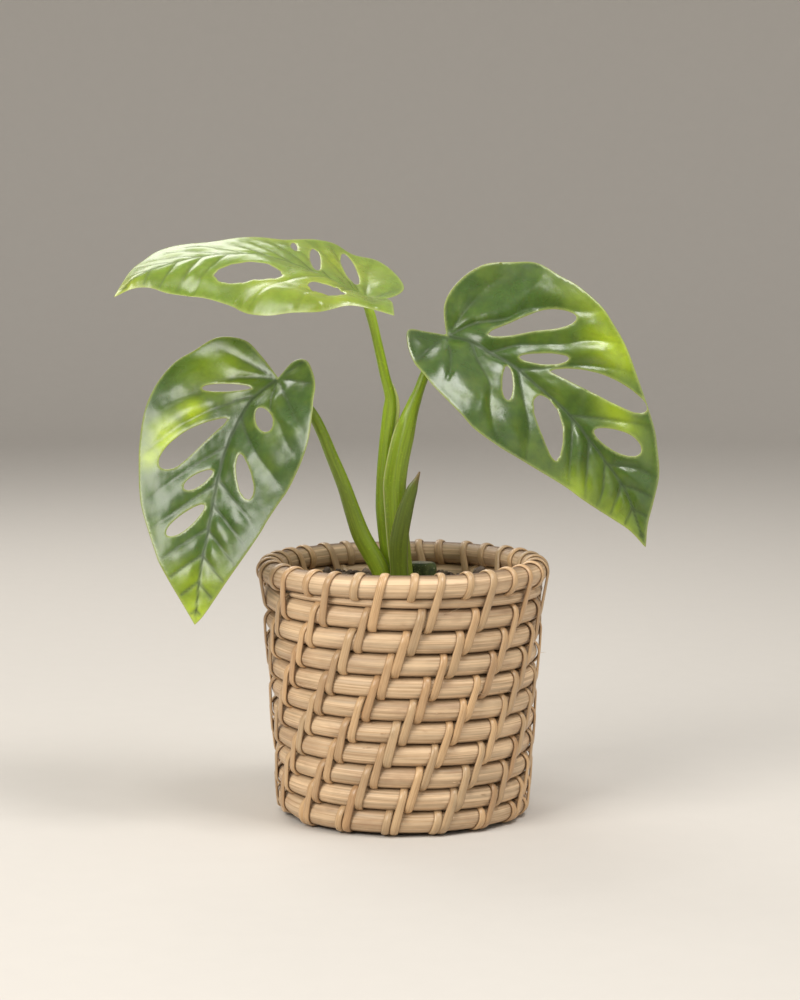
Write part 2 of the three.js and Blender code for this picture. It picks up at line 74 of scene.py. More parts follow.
GAP = 0.3 * MM
RIM_CANE = (node_top("rim_hoop") - node_bottom("rim_hoop")) / 2
RIM_HEIGHT = (node_top("rim_hoop") + node_bottom("rim_hoop")) / 2
RIM_RADIUS = half_width("rim_hoop") - RIM_CANE
WALL_LIFT = node_bottom("wall_coil")
WALL_TOP = node_top("wall_coil")
BASE_RADIUS = half_width("base_coil")
BASE_THICKNESS = node_top("base_coil") - node_bottom("base_coil")
SOIL_RADIUS = half_width("soil")
SOIL_LEVEL = node_top("soil")
SOIL_FLOOR = node_bottom("soil")
LASHINGS = sum(name.startswith("lashing_") for name in NODES)


# ---- Sizes and colours a user would change ------------------------------------------------
def length(name, description, default, smallest=0.0):
    return FloatProperty(
        name=name, description=description, default=default, min=smallest, unit="LENGTH", subtype="DISTANCE"
    )


def share(name, description, default):
    return FloatProperty(name=name, description=description, default=default, min=0, max=1, subtype="FACTOR")


def colour(name, description, default):
    return FloatVectorProperty(
        name=name, description=description, default=default, size=3, min=0, max=1, subtype="COLOR"
    )


class StageSettings(bpy.types.PropertyGroup):
    """The floor and the light."""

    floor_colour: colour("Floor", "Colour of the floor and backdrop", (0.62, 0.59, 0.55))
    key_power: FloatProperty(
        name="Key light", description="Power of the large soft light", default=20, min=0, unit="POWER"
    )
    eye_distance: length("Camera distance", "From the basket's axis to the camera", 1.4531, 0.1)
    eye_height: length("Camera height", "Above the table", 0.3243)
    look_down: FloatProperty(
        name="Look down", description="How far the camera looks below the horizon", default=0.110,
        subtype="ANGLE", unit="ROTATION",
    )


class CaneSettings(bpy.types.PropertyGroup):
    """The thick peeled cane that the basket is coiled from."""

    radius: length("Cane radius", "Half the thickness of the wall's cane", 5.6 * MM, 1 * MM)
    turns: FloatProperty(name="Turns", description="Times the wall's cane goes round", default=11 - 1 / 15)
    start_angle: FloatProperty(
        name="Start", description="Where the wall's cane starts, seen from above",
        default=math.radians(192), subtype="ANGLE", unit="ROTATION",
    )
    wedge: length("Wedge", "Thickness of the cane's two shaved ends", 2.6 * MM)
    top_inset: length("Top inset", "How far the top row stands inside the rim's outside", 2.2 * MM)
    steps: IntProperty(name="Steps", description="Cross-sections in one turn", default=150, min=24)
    sides: IntProperty(name="Sides", description="Points round a cross-section", default=22, min=8)
    pale: colour("Pale cane", "The clean peeled surface", (0.80, 0.58, 0.36))
    # The deep cane colour, darkened further, is also the painted shade in the seams between rows.
    deep: colour("Deep cane", "Stained streaks and seams", (0.36, 0.20, 0.09))


class LashingSettings(bpy.types.PropertyGroup):
    """The flat split cane that ties the rows together."""

    width: length("Strip width", "Width of a strip", 4.4 * MM, 1 * MM)
    thickness: length("Strip thickness", "Thickness of a strip", 1.25 * MM, 0.3 * MM)
    slant: length("Slant", "How far a stitch leans over two rows", 6.0 * MM)
    step: length("Step", "How far each next stitch of a column stands to the left", 7.9 * MM)
    first_angle: FloatProperty(
        name="First column", description="Where the first column of stitches meets the rim",
        default=math.radians(262), subtype="ANGLE", unit="ROTATION",
    )
    wrap_offset: share("Wrap offset", "Where a short rim wrap stands between two long stitches", 0.53)
    pale: colour("Pale strip", "The glossy skin of a strip", (0.68, 0.45, 0.235))
    # The deep strip colour, darkened further, is also the painted shade on the strips' edges and undersides.
    deep: colour("Deep strip", "The darker strips and their edges", (0.34, 0.17, 0.07))


class SoilSettings(bpy.types.PropertyGroup):
    """The soil and its crumbs."""

    crumbs: IntProperty(name="Crumbs", description="Loose crumbs on the soil", default=620, min=0)
    crumb_size: length("Crumb size", "Half the size of a usual crumb", 1.3 * MM)
    dark: colour("Damp soil", "The darkest soil", (0.10, 0.072, 0.058))
    light: colour("Dry soil", "The lightest crumbs", (0.30, 0.235, 0.175))


class StemSettings(bpy.types.PropertyGroup):
    """The stalks, their sheaths, the bract and the old stump."""

    sides: IntProperty(name="Sides", description="Refinement round a stalk", default=4, min=1)
    green: colour("Stalk green", "The stalks' green", (0.31, 0.45, 0.022))
    pale: colour("Sheath edge", "The pale edge of a sheath", (0.62, 0.68, 0.30))
    dry: colour("Dry tip", "The bract's dry tip", (0.20, 0.14, 0.05))


class LeafSettings(bpy.types.PropertyGroup):
    """The three perforated leaves."""

    grid: length("Grid", "Spacing of a leaf's mesh", 1.15 * MM, 0.4 * MM)
    thickness: length("Thickness", "Thickness of the blade", 0.55 * MM, 0.1 * MM)
    quilting: length("Quilting", "How far the blade swells between its side veins", 1.0 * MM)
    deep: colour("Deep green", "The blade's green", (0.040, 0.084, 0.007))
    # The fresh green is also the painted light in the patches where light seems to shine through the blade.
    fresh: colour("Fresh green", "The thin, lit parts", (0.42, 0.56, 0.012))
    edge: colour("Pale edge", "The margin's thin pale line", (0.42, 0.48, 0.15))


# ---- Shared shapes ------------------------------------------------------------------------
def smoothstep(low, high, x):
    t = np.clip((x - low) / (high - low), 0, 1)
    return t * t * (3 - 2 * t)


def ripple(x, size, seed):
    """Smooth noise of about -1 to 1 along one measure."""
    rng = np.random.default_rng(seed)
    x = np.asarray(x, dtype=float)
    total = np.zeros_like(x)
    for _ in range(6):
        total += np.sin(x * TURN / (size * rng.uniform(0.6, 1.7)) + rng.uniform(0, TURN))
    return total / 3


def waves(points, size, seed, count=14):
    """Smooth noise of about -1 to 1 through space."""
    rng = np.random.default_rng(seed)
    points = np.asarray(points, dtype=float)
    total = np.zeros(points.shape[:-1])
    for _ in range(count):
        heading = rng.normal(size=points.shape[-1])
        heading *= TURN / (size * rng.uniform(0.7, 1.5)) / np.linalg.norm(heading)
        total += np.sin(points @ heading + rng.uniform(0, TURN))
    return total / math.sqrt(count) * 0.8


def unit(vectors):
    return vectors / np.maximum(np.linalg.norm(vectors, axis=-1, keepdims=True), 1e-12)


def across_from(vectors, along):
    """The part of each vector that stands square to `along`, at unit length."""
    return unit(vectors - np.sum(vectors * along, axis=-1, keepdims=True) * along)


def polar(radius, angle, height):
    return np.stack(np.broadcast_arrays(radius * np.cos(angle), radius * np.sin(angle), height), axis=-1)


def refine(points, factor, wraps):
    """Puts `factor` times as many points on a smooth curve along the first axis."""
    count = len(points)
    spans = count if wraps else count - 1
    spot = np.arange(spans * factor + (0 if wraps else 1)) / factor
    first = np.minimum(np.floor(spot).astype(int), spans - 1)
    t = (spot - first).reshape((-1,) + (1,) * (points.ndim - 1))

    def at(index):
        if wraps:
            return points[index % count]
        inside = points[np.clip(index, 0, count - 1)]
        low, high = index < 0, index >= count
        inside[low] = 2 * points[0] - points[1]
        inside[high] = 2 * points[-1] - points[-2]
        return inside

    a, b, c, d = at(first - 1), at(first), at(first + 1), at(first + 2)
    return 0.5 * (2 * b + (c - a) * t + (2 * a - 5 * b + 4 * c - d) * t**2 + (3 * b - a - 3 * c + d) * t**3)


class Skin:
    """The points, faces and painted values of one piece, gathered part by part."""

    def __init__(self, *names):
        self.points = []
        self.faces = []
        self.count = 0
        self.values = {name: [] for name in names}

    def add(self, points, faces, **values):
        """Adds one closed body, turned so that its faces look out."""
        points = np.asarray(points, dtype=float)
        if signed_volume(points, faces) < 0:
            faces = [face[::-1] for face in faces]
        start = self.count
        self.faces.extend([tuple(start + corner for corner in face) for face in faces])
        self.points.append(points)
        self.count += len(points)
        for name, kept in self.values.items():
            value = np.asarray(values[name], dtype=float)
            shape = (len(points),) + value.shape[1:] if value.ndim else (len(points),)
            kept.append(np.broadcast_to(value, shape))

    def piece(self, name, material, slot, nodes=()):
        """Makes the object, lets it ride on the root and stand for its CAD nodes."""
        mesh = bpy.data.meshes.new(name)
        mesh.from_pydata(np.concatenate(self.points).tolist(), [], self.faces)
        for value_name, kept in self.values.items():
            value = np.concatenate(kept)
            is_vector = value.ndim == 2
            kind = "FLOAT_VECTOR" if is_vector else "FLOAT"
            attribute = mesh.attributes.new(value_name, kind, "POINT")
            field = "vector" if is_vector else "value"
            attribute.data.foreach_set(field, value.astype(np.float32).ravel())
        mesh.shade_smooth()
        mesh.update()
        made = bpy.data.objects.new(name, mesh)
        bpy.context.scene.collection.objects.link(made)
        mesh.materials.append(material)
        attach(made, "root")
        if nodes:
            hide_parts(*nodes)
        return made


def signed_volume(points, faces):
    total = 0.0
    by_size = {}
    for face in faces:
        by_size.setdefault(len(face), []).append(face)
    for group in by_size.values():
        corners = points[np.array(group)]
        for k in range(1, corners.shape[1] - 1):
            total += np.sum(corners[:, 0] * np.cross(corners[:, k], corners[:, k + 1]))
    return total


def sweep(centres, across, through, sections, closed=False):
    """A rod's points and faces: one ring of [across, through] section points for each centre."""
    rings, sides = sections.shape[:2]
    points = (
        centres[:, None, :]
        + sections[:, :, 0, None] * across[:, None, :]
        + sections[:, :, 1, None] * through[:, None, :]
    )
    here = np.arange(rings if closed else rings - 1)
    near = here[:, None] * sides
    far = ((here + 1) % rings)[:, None] * sides
    side = np.arange(sides)[None, :]
    following = (side + 1) % sides
    quads = np.stack([near + side, near + following, far + following, far + side], axis=-1)
    faces = [tuple(quad) for quad in quads.reshape(-1, 4).tolist()]
    if not closed:
        faces.append(tuple(range(sides - 1, -1, -1)))
        faces.append(tuple(range((rings - 1) * sides, rings * sides)))
    return points.reshape(-1, 3), faces


def circle(sides):
    """Evenly spaced points on a circle of radius 1, and their angles."""
    phi = np.arange(sides) / sides * TURN
    return np.stack([np.cos(phi), np.sin(phi)], axis=-1), phi


def grain_of(way, sections):
    """Each point's place along a rod and across it, which its fibres follow."""
    along = np.broadcast_to(way[:, None, None], (*sections.shape[:2], 1))
    return np.concatenate([along, sections], axis=-1)


def travelled(centres):
    """Distance along a path at each of its points."""
    steps = np.linalg.norm(np.diff(centres, axis=0), axis=1)
    return np.concatenate([[0], np.cumsum(steps)])


# ---- Materials ----------------------------------------------------------------------------
class Finish:
    """One material and short ways to add its nodes."""

    def __init__(self, name, roughness, coat=0.0, coat_roughness=0.2, specular=0.5):
        self.material = bpy.data.materials.new(name)
        self.material.use_nodes = True
        self.tree = self.material.node_tree
        self.shader = self.tree.nodes["Principled BSDF"]
        self.shader.inputs["Roughness"].default_value = roughness
        self.shader.inputs["Coat Weight"].default_value = coat
        self.shader.inputs["Coat Roughness"].default_value = coat_roughness
        self.shader.inputs["Specular IOR Level"].default_value = specular

    def link(self, source, target):
        self.tree.links.new(source, target)

    def put(self, source, socket):
        """Feeds an input from a node's output, a number or a colour."""
        if isinstance(source, bpy.types.NodeSocket):
            self.link(source, socket)
        elif hasattr(source, "__len__") and len(source) == 3 and socket.type == "RGBA":
            socket.default_value = (*source, 1)
        else:
            socket.default_value = source

    def painted(self, name, as_vector=False):
        node = self.tree.nodes.new("ShaderNodeAttribute")
        node.attribute_name = name
        return node.outputs["Vector" if as_vector else "Fac"]

    def place(self):
        return self.tree.nodes.new("ShaderNodeTexCoord").outputs["Object"]

    def noise(self, vector, scale, detail=3.0, rough=0.55):
        node = self.tree.nodes.new("ShaderNodeTexNoise")
        self.link(vector, node.inputs["Vector"])
        node.inputs["Scale"].default_value = scale
        node.inputs["Detail"].default_value = detail
        node.inputs["Roughness"].default_value = rough
        return node.outputs["Fac"]

    def fibres(self, grain, along, across, detail=3.0, rough=0.6):
        """Noise drawn out along the grain, with its waves in a metre along and across it."""
        node = self.tree.nodes.new("ShaderNodeMapping")
        self.link(grain, node.inputs["Vector"])
        node.inputs["Scale"].default_value = (along, across, across)
        return self.noise(node.outputs["Vector"], 1.0, detail, rough)

    def maths(self, operation, first, second=0.0):
        node = self.tree.nodes.new("ShaderNodeMath")
        node.operation = operation
        self.put(first, node.inputs[0])
        self.put(second, node.inputs[1])
        return node.outputs[0]

    def between(self, value, low, high, to_low=0.0, to_high=1.0):
        node = self.tree.nodes.new("ShaderNodeMapRange")
        self.put(value, node.inputs["Value"])
        node.inputs["From Min"].default_value = low
        node.inputs["From Max"].default_value = high
        node.inputs["To Min"].default_value = to_low
        node.inputs["To Max"].default_value = to_high
        return node.outputs["Result"]

    def mix(self, amount, first, second):
        """Mixes two colours. The node's colour sockets share their names, so they go by place."""
        node = self.tree.nodes.new("ShaderNodeMix")
        node.data_type = "RGBA"
        self.put(amount, node.inputs["Factor"])
        self.put(first, node.inputs[6])
        self.put(second, node.inputs[7])
        return node.outputs[2]

    def layer(self, base, colour, value, low, high, most=1.0):
        """Lays a colour over the base, more and more as a value goes from low to high."""
        return self.mix(self.between(value, low, high, 0, most), base, colour)

    def wash(self, base, colour, name, most):
        """Lays a colour over the base where the mesh is painted."""
        return self.mix(self.maths("MULTIPLY", self.painted(name), most), base, colour)

    def bump(self, height, strength, distance):
        node = self.tree.nodes.new("ShaderNodeBump")
        self.put(height, node.inputs["Height"])
        node.inputs["Strength"].default_value = strength
        node.inputs["Distance"].default_value = distance
        self.link(node.outputs["Normal"], self.shader.inputs["Normal"])

    def finish(self, base, roughness=None):
        self.put(base, self.shader.inputs["Base Color"])
        if roughness is not None:
            self.put(roughness, self.shader.inputs["Roughness"])
        return self.material


def toned(rgb, factor):
    """A colour made darker, or lighter where the factor is above 1."""
    return tuple(channel * factor for channel in rgb)


def cane_finish(settings):
    """Peeled cane: long fibres, soft stains, and painted shade in the seams where two rows meet."""
    made = Finish("peeled_cane", roughness=0.5, coat=0.12, coat_roughness=0.35, specular=0.4)
    grain = made.painted("grain", as_vector=True)
    fibres = made.fibres(grain, 18, 1500, 4)
    strands = made.fibres(grain, 9, 520)
    stains = made.fibres(grain, 28, 120, 4, 0.65)
    blotches = made.noise(made.place(), 34, 3)
    base = made.layer(settings.pale, toned(settings.pale, 0.55), strands, 0.36, 0.62, 0.85)
    base = made.layer(base, settings.deep, fibres, 0.49, 0.62, 0.6)
    base = made.layer(base, (0.40, 0.245, 0.145), stains, 0.52, 0.70, 0.65)
    base = made.layer(base, toned(settings.pale, 1.15), blotches, 0.5, 0.75, 0.35)
    # Painted shade: the seams where two rows meet are darkened well below the cane's own colour.
    base = made.layer(base, toned(settings.deep, 0.4), made.painted("seam"), 0.35, 0.95, 0.92)
    made.bump(made.maths("ADD", made.maths("MULTIPLY", fibres, 0.6), strands), 0.55, 0.0005)
    return made.finish(base, made.between(fibres, 0.3, 0.8, 0.42, 0.68))


def strip_finish(settings):
    """Split cane strip: a glossier skin with fine lines, painted shade on its edges and underside, each
    strip its own tint.
    """
    made = Finish("split_cane", roughness=0.38, coat=0.25, coat_roughness=0.25, specular=0.45)
    grain = made.painted("grain", as_vector=True)
    lines = made.fibres(grain, 25, 2400)
    cloud = made.fibres(grain, 60, 260)
    tint = made.painted("tint")
    base = made.mix(tint, settings.pale, made.mix(0.7, settings.pale, settings.deep))
    greyed = made.maths("MULTIPLY", made.maths("FRACT", made.maths("MULTIPLY", tint, 7)), 0.65)
    base = made.mix(greyed, base, (0.47, 0.37, 0.23))
    base = made.layer(base, settings.deep, lines, 0.42, 0.68, 0.6)
    base = made.layer(base, toned(settings.pale, 1.25), cloud, 0.5, 0.75, 0.4)
    # Painted shade: the strip's underside and edges, where it lies on the cane, are darkened.
    base = made.layer(base, toned(settings.deep, 0.5), made.painted("seam"), 0.4, 1, 0.85)
    made.bump(lines, 0.4, 0.0003)
    return made.finish(base, made.between(lines, 0.3, 0.8, 0.3, 0.52))


def soil_finish(settings):
    """Damp potting soil, with each crumb its own shade."""
    made = Finish("potting_soil", roughness=0.95, specular=0.2)
    place = made.place()
    grit = made.noise(place, 900, 5, 0.7)
    patches = made.noise(place, 120, 4, 0.6)
    base = made.layer(settings.dark, made.mix(0.5, settings.dark, settings.light), patches, 0.35, 0.65)
    base = made.mix(made.painted("tint"), base, settings.light)
    base = made.layer(base, toned(settings.dark, 0.6), grit, 0.4, 0.7, 0.5)
    made.bump(grit, 0.9, 0.0008)
    return made.finish(base)


def stump_finish():
    """Old stem: dark green skin with pale corky specks."""
    made = Finish("old_stem", roughness=0.55, coat=0.1, specular=0.4)
    place = made.place()
    mottle = made.noise(place, 260, 4, 0.65)
    specks = made.noise(place, 900, 2, 0.5)
    base = made.layer((0.035, 0.055, 0.015), (0.10, 0.14, 0.035), mottle, 0.38, 0.62)
    base = made.layer(base, (0.42, 0.42, 0.26), specks, 0.62, 0.70, 0.7)
    base = made.layer(base, (0.20, 0.17, 0.08), made.painted("seam"), 0.2, 1, 0.7)
    made.bump(mottle, 0.7, 0.0006)
    return made.finish(base)


def stalk_finish(name, settings, tone):
    """Fresh stalk: lengthwise streaks, speckles and a pale edge on the sheath."""
    made = Finish(name, roughness=0.42, coat=0.15, coat_roughness=0.3)
    made.shader.inputs["Subsurface Weight"].default_value = 0.12
    made.shader.inputs["Subsurface Scale"].default_value = 0.003
    grain = made.painted("grain", as_vector=True)
    streaks = made.fibres(grain, 30, 900)
    speckle = made.noise(made.place(), 700, 3, 0.6)
    base = made.layer(tone, toned(tone, 0.62), streaks, 0.35, 0.68)
    base = made.layer(base, toned(tone, 1.6), speckle, 0.58, 0.72, 0.35)
    base = made.mix(made.painted("pale"), base, settings.pale)
    base = made.mix(made.painted("dry"), base, settings.dry)
    made.bump(streaks, 0.35, 0.0003)
    return made.finish(base)


def leaf_finish(name, settings, tone, fresh):
    """A leaf's skin: deep green, veins and midrib darkened with painted groove shade, patches of painted
    light through the blade, and a fine pale margin.
    """
    made = Finish(name, roughness=0.40, coat=0.15, coat_roughness=0.24, specular=0.6)
    made.shader.inputs["Subsurface Weight"].default_value = 0.05
    made.shader.inputs["Subsurface Scale"].default_value = 0.002
    place = made.place()
    cells = made.noise(place, 1400, 3, 0.6)
    mottle = made.noise(place, 150, 5, 0.7)
    cloud = made.noise(place, 55, 3, 0.6)
    base = made.layer(tone, toned(tone, 1.7), mottle, 0.40, 0.66, 0.45)
    base = made.layer(base, fresh, cloud, 0.45, 0.7, 0.12)
    # Painted light: in its patches the blade glows fresh green, as if light shone through it.
    patch = made.maths("MULTIPLY", made.painted("patch"), made.between(mottle, 0.3, 0.55, 0.65, 1))
    base = made.mix(patch, base, fresh)
    # Painted shade: the side veins and the midrib are darkened as if shaded in their grooves.
    base = made.wash(base, toned(tone, 0.5), "vein", 0.7)
    base = made.wash(base, toned(tone, 0.5), "midrib", 0.85)
    base = made.wash(base, (0.20, 0.30, 0.10), "under", 0.45)
    base = made.mix(made.painted("edge"), base, settings.edge)
    made.bump(made.maths("ADD", made.maths("MULTIPLY", mottle, 0.3), cells), 0.12, 0.0004)
    dull = made.maths("MAXIMUM", made.maths("MULTIPLY", made.painted("midrib"), 0.9),
                      made.maths("MULTIPLY", made.painted("vein"), 0.75))
    return made.finish(base, made.maths("MAXIMUM", made.between(cloud, 0.3, 0.7, 0.25, 0.34), dull))


def plain_finish(name, rgb):
    """Matt plain surface of the stage, with a faint grain."""
    made = Finish(name, roughness=0.9, specular=0.2)
    grain = made.noise(made.place(), 60, 3)
    return made.finish(made.mix(made.between(grain, 0.3, 0.7, 0, 0.06), rgb, toned(rgb, 0.8)))


# ---- Basket: canes ------------------------------------------------------------------------
# All canes share one grain, drawn on a rod of this radius. The bottom is a flat spiral of cane.
GRAIN_RADIUS = 5.6 * MM
BASE_RINGS = 5
BASE_HALF = BASE_RADIUS / BASE_RINGS / 2
BASE_HALF_HEIGHT = 3.6 * MM
BASE_MIDDLE = BASE_THICKNESS / 2 + 0.4 * MM


class Wall:
    """Where the wall's one long cane runs: it climbs clockwise, with a shaved wedge at each end."""

    def __init__(self, cane):
        self.cane = cane
        self.ramp = 0.07
        self.pitch = (WALL_TOP - WALL_LIFT - 2 * cane.wedge) / (cane.turns - 1)
        self.foot_radius = BASE_RADIUS + GAP + cane.radius
        self.top_radius = RIM_RADIUS + RIM_CANE - cane.top_inset - cane.radius

    def radius(self, height):
        up = (height - WALL_LIFT) / (WALL_TOP - WALL_LIFT)
        return self.foot_radius + (self.top_radius - self.foot_radius) * up

    def underside(self, turns):
        first = WALL_LIFT + self.cane.wedge * smoothstep(1 - self.ramp, 1, turns)
        return np.where(turns < 1, first, WALL_LIFT + self.cane.wedge + self.pitch * (turns - 1))

    def top(self, turns):
        following = self.underside(turns + 1) - GAP
        last = self.cane.turns - 1
        rise = smoothstep(last, last + self.ramp, turns)
        before = self.underside(np.asarray(last + 1)) - GAP
        return np.where(turns <= last, following, before + (WALL_TOP - before) * rise)

    def rows_at(self, angle):
        """The wall's rows at an angle, from the foot up, each as (radius, height, half height)."""
        first = ((self.cane.start_angle - angle) % TURN) / TURN
        turns = first + np.arange(math.ceil(self.cane.turns - first))
        low, high = self.underside(turns), self.top(turns)
        middle = (low + high) / 2
        return [(self.radius(m), m, (h - l) / 2) for m, l, h in zip(middle, low, high)]


def rod(skin, centres, along, half_across, half_up, sides, seed, closed=False):
    """Adds one cane: a slightly uneven round rod whose grain follows it."""
    up = across_from(np.broadcast_to([0.0, 0, 1], along.shape), along)
    out = unit(np.cross(along, up))
    way = travelled(centres)
    ring, phi = circle(sides)
    rings = np.broadcast_to(ring, (len(way), sides, 2))
    uneven = 1 + 0.012 * ripple(way, 0.05, seed)[:, None] * np.cos(2 * phi + seed)[None, :]
    uneven = uneven + 0.010 * waves(grain_of(way / 6, 0.006 * rings), 0.004, seed + 5)
    half = np.stack([half_across, half_up], axis=-1)[:, None, :]
    points, faces = sweep(centres, out, up, rings * half * uneven[..., None], closed)
    grain = grain_of(way, GRAIN_RADIUS * rings).reshape(-1, 3) + [seed, 0, 0]
    # Painted shade: the rod's top and bottom, where it meets the rows above and below, are marked for
    # darkening.
    seam = np.broadcast_to(np.abs(ring[:, 1]) ** 3, (len(way), sides)).ravel()
    skin.add(points, faces, grain=grain, seam=seam)


def wall_cane(skin, wall):
    """The wall's one long cane, which drifts a little and presses on the row below."""
    cane = wall.cane
    count = round(cane.turns * cane.steps)
    turns = np.linspace(0, cane.turns, count + 1)
    angle = cane.start_angle - turns * TURN
    low, high = wall.underside(turns), wall.top(turns)
    middle = (low + high) / 2
    endways = np.minimum(turns, cane.turns - turns)
    across = cane.radius * (0.6 + 0.4 * smoothstep(0, 0.35, endways))
    drift = 0.28 * MM * ripple(turns, 0.8, 3) + 0.12 * MM * ripple(turns, 0.13, 4)
    radius = wall.radius(middle) + (cane.radius - across) * 0.6 + drift - 0.25 * MM
    centres = polar(radius, angle, middle)
    along = unit(np.gradient(centres, axis=0))
    raised = 0.3 * MM * smoothstep(cane.turns - 1.1, cane.turns - 1, turns)
    centres[:, 2] += raised
    rod(skin, centres, along, across, (high - low) / 2 + 0.22 * MM + raised, cane.sides, 11)


def rim_cane(skin, cane):
    """The rim's closed hoop."""
    count = cane.steps + 30
    angle = np.arange(count) / count * TURN
    radius = RIM_RADIUS + 0.2 * MM * np.sin(5 * angle + 1) + 0.12 * MM * np.sin(13 * angle)
    centres = polar(radius, angle, RIM_HEIGHT + 0.12 * MM * np.sin(7 * angle))
    along = polar(np.ones(count), angle + TURN / 4, 0)
    half = np.full(count, RIM_CANE)
    rod(skin, centres, along, half, half, cane.sides, 12, closed=True)


def base_canes(skin, cane):
    """The bottom's flat spiral, from the wall's foot in to the middle."""
    turns = np.linspace(0, BASE_RINGS - 0.62, 420)
    angle = cane.start_angle + turns * TURN
    radius = BASE_RADIUS - BASE_HALF - 2 * BASE_HALF * turns
    centres = polar(np.maximum(radius, 2 * MM), angle, BASE_MIDDLE)
    along = unit(np.gradient(centres, axis=0))
    half, half_height = np.full(len(turns), BASE_HALF), np.full(len(turns), BASE_HALF_HEIGHT)
    rod(skin, centres, along, half, half_height, cane.sides, 13)


LIFTED_FIBRES, END_SPLINTERS = 70, 26


def frayed_fibres(skin, wall):
    """Fine fibres that have lifted from the canes, and the splinters of the wall's cut end."""
    rng = np.random.default_rng(21)
    starts = []
    for _ in range(LIFTED_FIBRES):
        angle = rng.uniform(0, TURN)
        row = wall.rows_at(angle)[rng.integers(0, 10)]
        tilt = rng.uniform(-0.9, 0.9)
        foot = polar(row[0] + wall.cane.radius * math.cos(tilt), angle, row[1] + row[2] * math.sin(tilt))
        out = polar(math.cos(tilt), angle, math.sin(tilt))
        starts.append((foot, angle, out, rng.uniform(3, 9) * MM, rng.uniform(0.1, 0.5)))
    end = wall.cane.start_angle
    low, high = wall.underside(np.array(0.0)), wall.top(np.array(0.0))
    for _ in range(END_SPLINTERS):
        height = rng.uniform(low + 0.2 * MM, high + 1.5 * MM)
        reach = wall.radius(height) + rng.uniform(-2.5, 3.6) * MM
        starts.append((polar(reach, end, height), end, polar(1, end, 0.2), rng.uniform(2.5, 6) * MM, 0.25))
    for foot, angle, out, size, lift in starts:
        ahead = polar(1, angle + TURN / 4, rng.uniform(-0.25, 0.25))
        ahead = unit(ahead - out * np.dot(ahead, out))
        t = np.linspace(0, 1, 6)[:, None]
        centres = foot - out * 0.1 * MM + ahead * size * t + out * size * lift * t**2
        along = unit(np.gradient(centres, axis=0))
        side = across_from(np.broadcast_to(out, along.shape), along)
        other = np.cross(along, side)
        width = (0.22 * (1 - t[:, 0]) + 0.05) * MM
        sections = circle(5)[0] * [1, 0.6] * width[:, None, None]
        points, faces = sweep(centres, side, other, sections)
        skin.add(points, faces, grain=points * 3, seam=0.25)


# ---- Basket: stitches ---------------------------------------------------------------------
def hull(points):
    """The convex outline of [radius, height] points, running clockwise from the inside's foot."""
    ordered = sorted(map(tuple, points))

    def half(sequence):
        kept = []
        for p in sequence:
            while len(kept) > 1:
                (ax, ay), (bx, by) = kept[-2], kept[-1]
                if (bx - ax) * (p[1] - ay) - (by - ay) * (p[0] - ax) >= 0:
                    kept.pop()
                else:
                    break
            kept.append(p)
        return kept

    upper = half(ordered)
    lower = half(reversed(ordered))
    return np.array(upper[:-1] + lower[:-1])


def evenly(outline, count):
    """Puts evenly spaced points on a closed outline."""
    closed = np.vstack([outline, outline[:1]])
    way = travelled(closed)
    spots = np.arange(count) / count * way[-1]
    return np.stack([np.interp(spots, way, closed[:, k]) for k in range(2)], axis=-1)


# A strip's cross-section, in shares of its width and thickness, and how much painted shade darkens each
# corner, most on the underside that lies on the cane.
STRIP_SECTION = np.array([
    [-0.46, 0.0], [0.46, 0.0], [0.5, 0.3], [0.40, 0.74],
    [0.16, 1.0], [-0.16, 1.0], [-0.40, 0.74], [-0.5, 0.3],
])
STRIP_PAINTED_SHADE = np.array([0.9, 0.9, 0.75, 0.2, 0.0, 0.0, 0.2, 0.75])


def stitch(skin, rows, angle, slant, settings, rng, pinch_top=True, count=44):
    """Adds one closed loop of strip round rows given as (radius, height, half across, half up).

    The loop is pinched where it passes between two rows, and at its top too unless that is free.
    """
    ring = circle(40)[0]
    clearance = 0.10 * MM
    cloud = []
    middle = sum(row[1] for row in rows) / len(rows)
    for radius, height, half_across, half_up in rows:
        is_free = not pinch_top and (height > middle or len(rows) == 1)
        pinched = np.where((ring[:, 1] > 0) & is_free, 0.0, 1.0)
        reach = clearance * (1 - 0.9 * pinched * np.abs(ring[:, 1]) ** 8)
        outward = (half_across + reach) * ring[:, 0]
        upward = (half_up + reach) * ring[:, 1]
        cloud.extend(zip(radius + outward, height + upward))
    outline = evenly(hull(cloud), count)
    outward = unit(np.roll(outline, -1, axis=0) - np.roll(outline, 1, axis=0))
    normal = np.stack([outward[:, 1], -outward[:, 0]], axis=-1)
    if np.sum(normal * (outline - outline.mean(axis=0))) < 0:
        normal = -normal
    high, low = outline[:, 1].max(), outline[:, 1].min()
    down = (high - outline[:, 1]) / (high - low)
    around = angle - slant * (down - 0.5) / outline[:, 0].mean()
    centres = polar(outline[:, 0], around, outline[:, 1])
    face = polar(normal[:, 0], around, normal[:, 1])
    along = unit(np.roll(centres, -1, axis=0) - np.roll(centres, 1, axis=0))
    face = across_from(face, along)
    across = np.cross(along, face)
    swell = 1 + 0.05 * np.sin(np.linspace(0, TURN, count) * 2 + angle)
    width = settings.width * rng.uniform(0.92, 1.08) * swell
    thickness = np.full(count, settings.thickness * rng.uniform(0.9, 1.1))
    sections = STRIP_SECTION[None] * np.stack([width, thickness], axis=-1)[:, None, :]
    points, faces = sweep(centres, across, face, sections, closed=True)
    grain = grain_of(travelled(centres), sections).reshape(-1, 3) + [rng.uniform(0, 9), 0, 0]
    skin.add(points, faces, grain=grain, seam=np.tile(STRIP_PAINTED_SHADE, count), tint=rng.uniform(0, 1) ** 1.6)


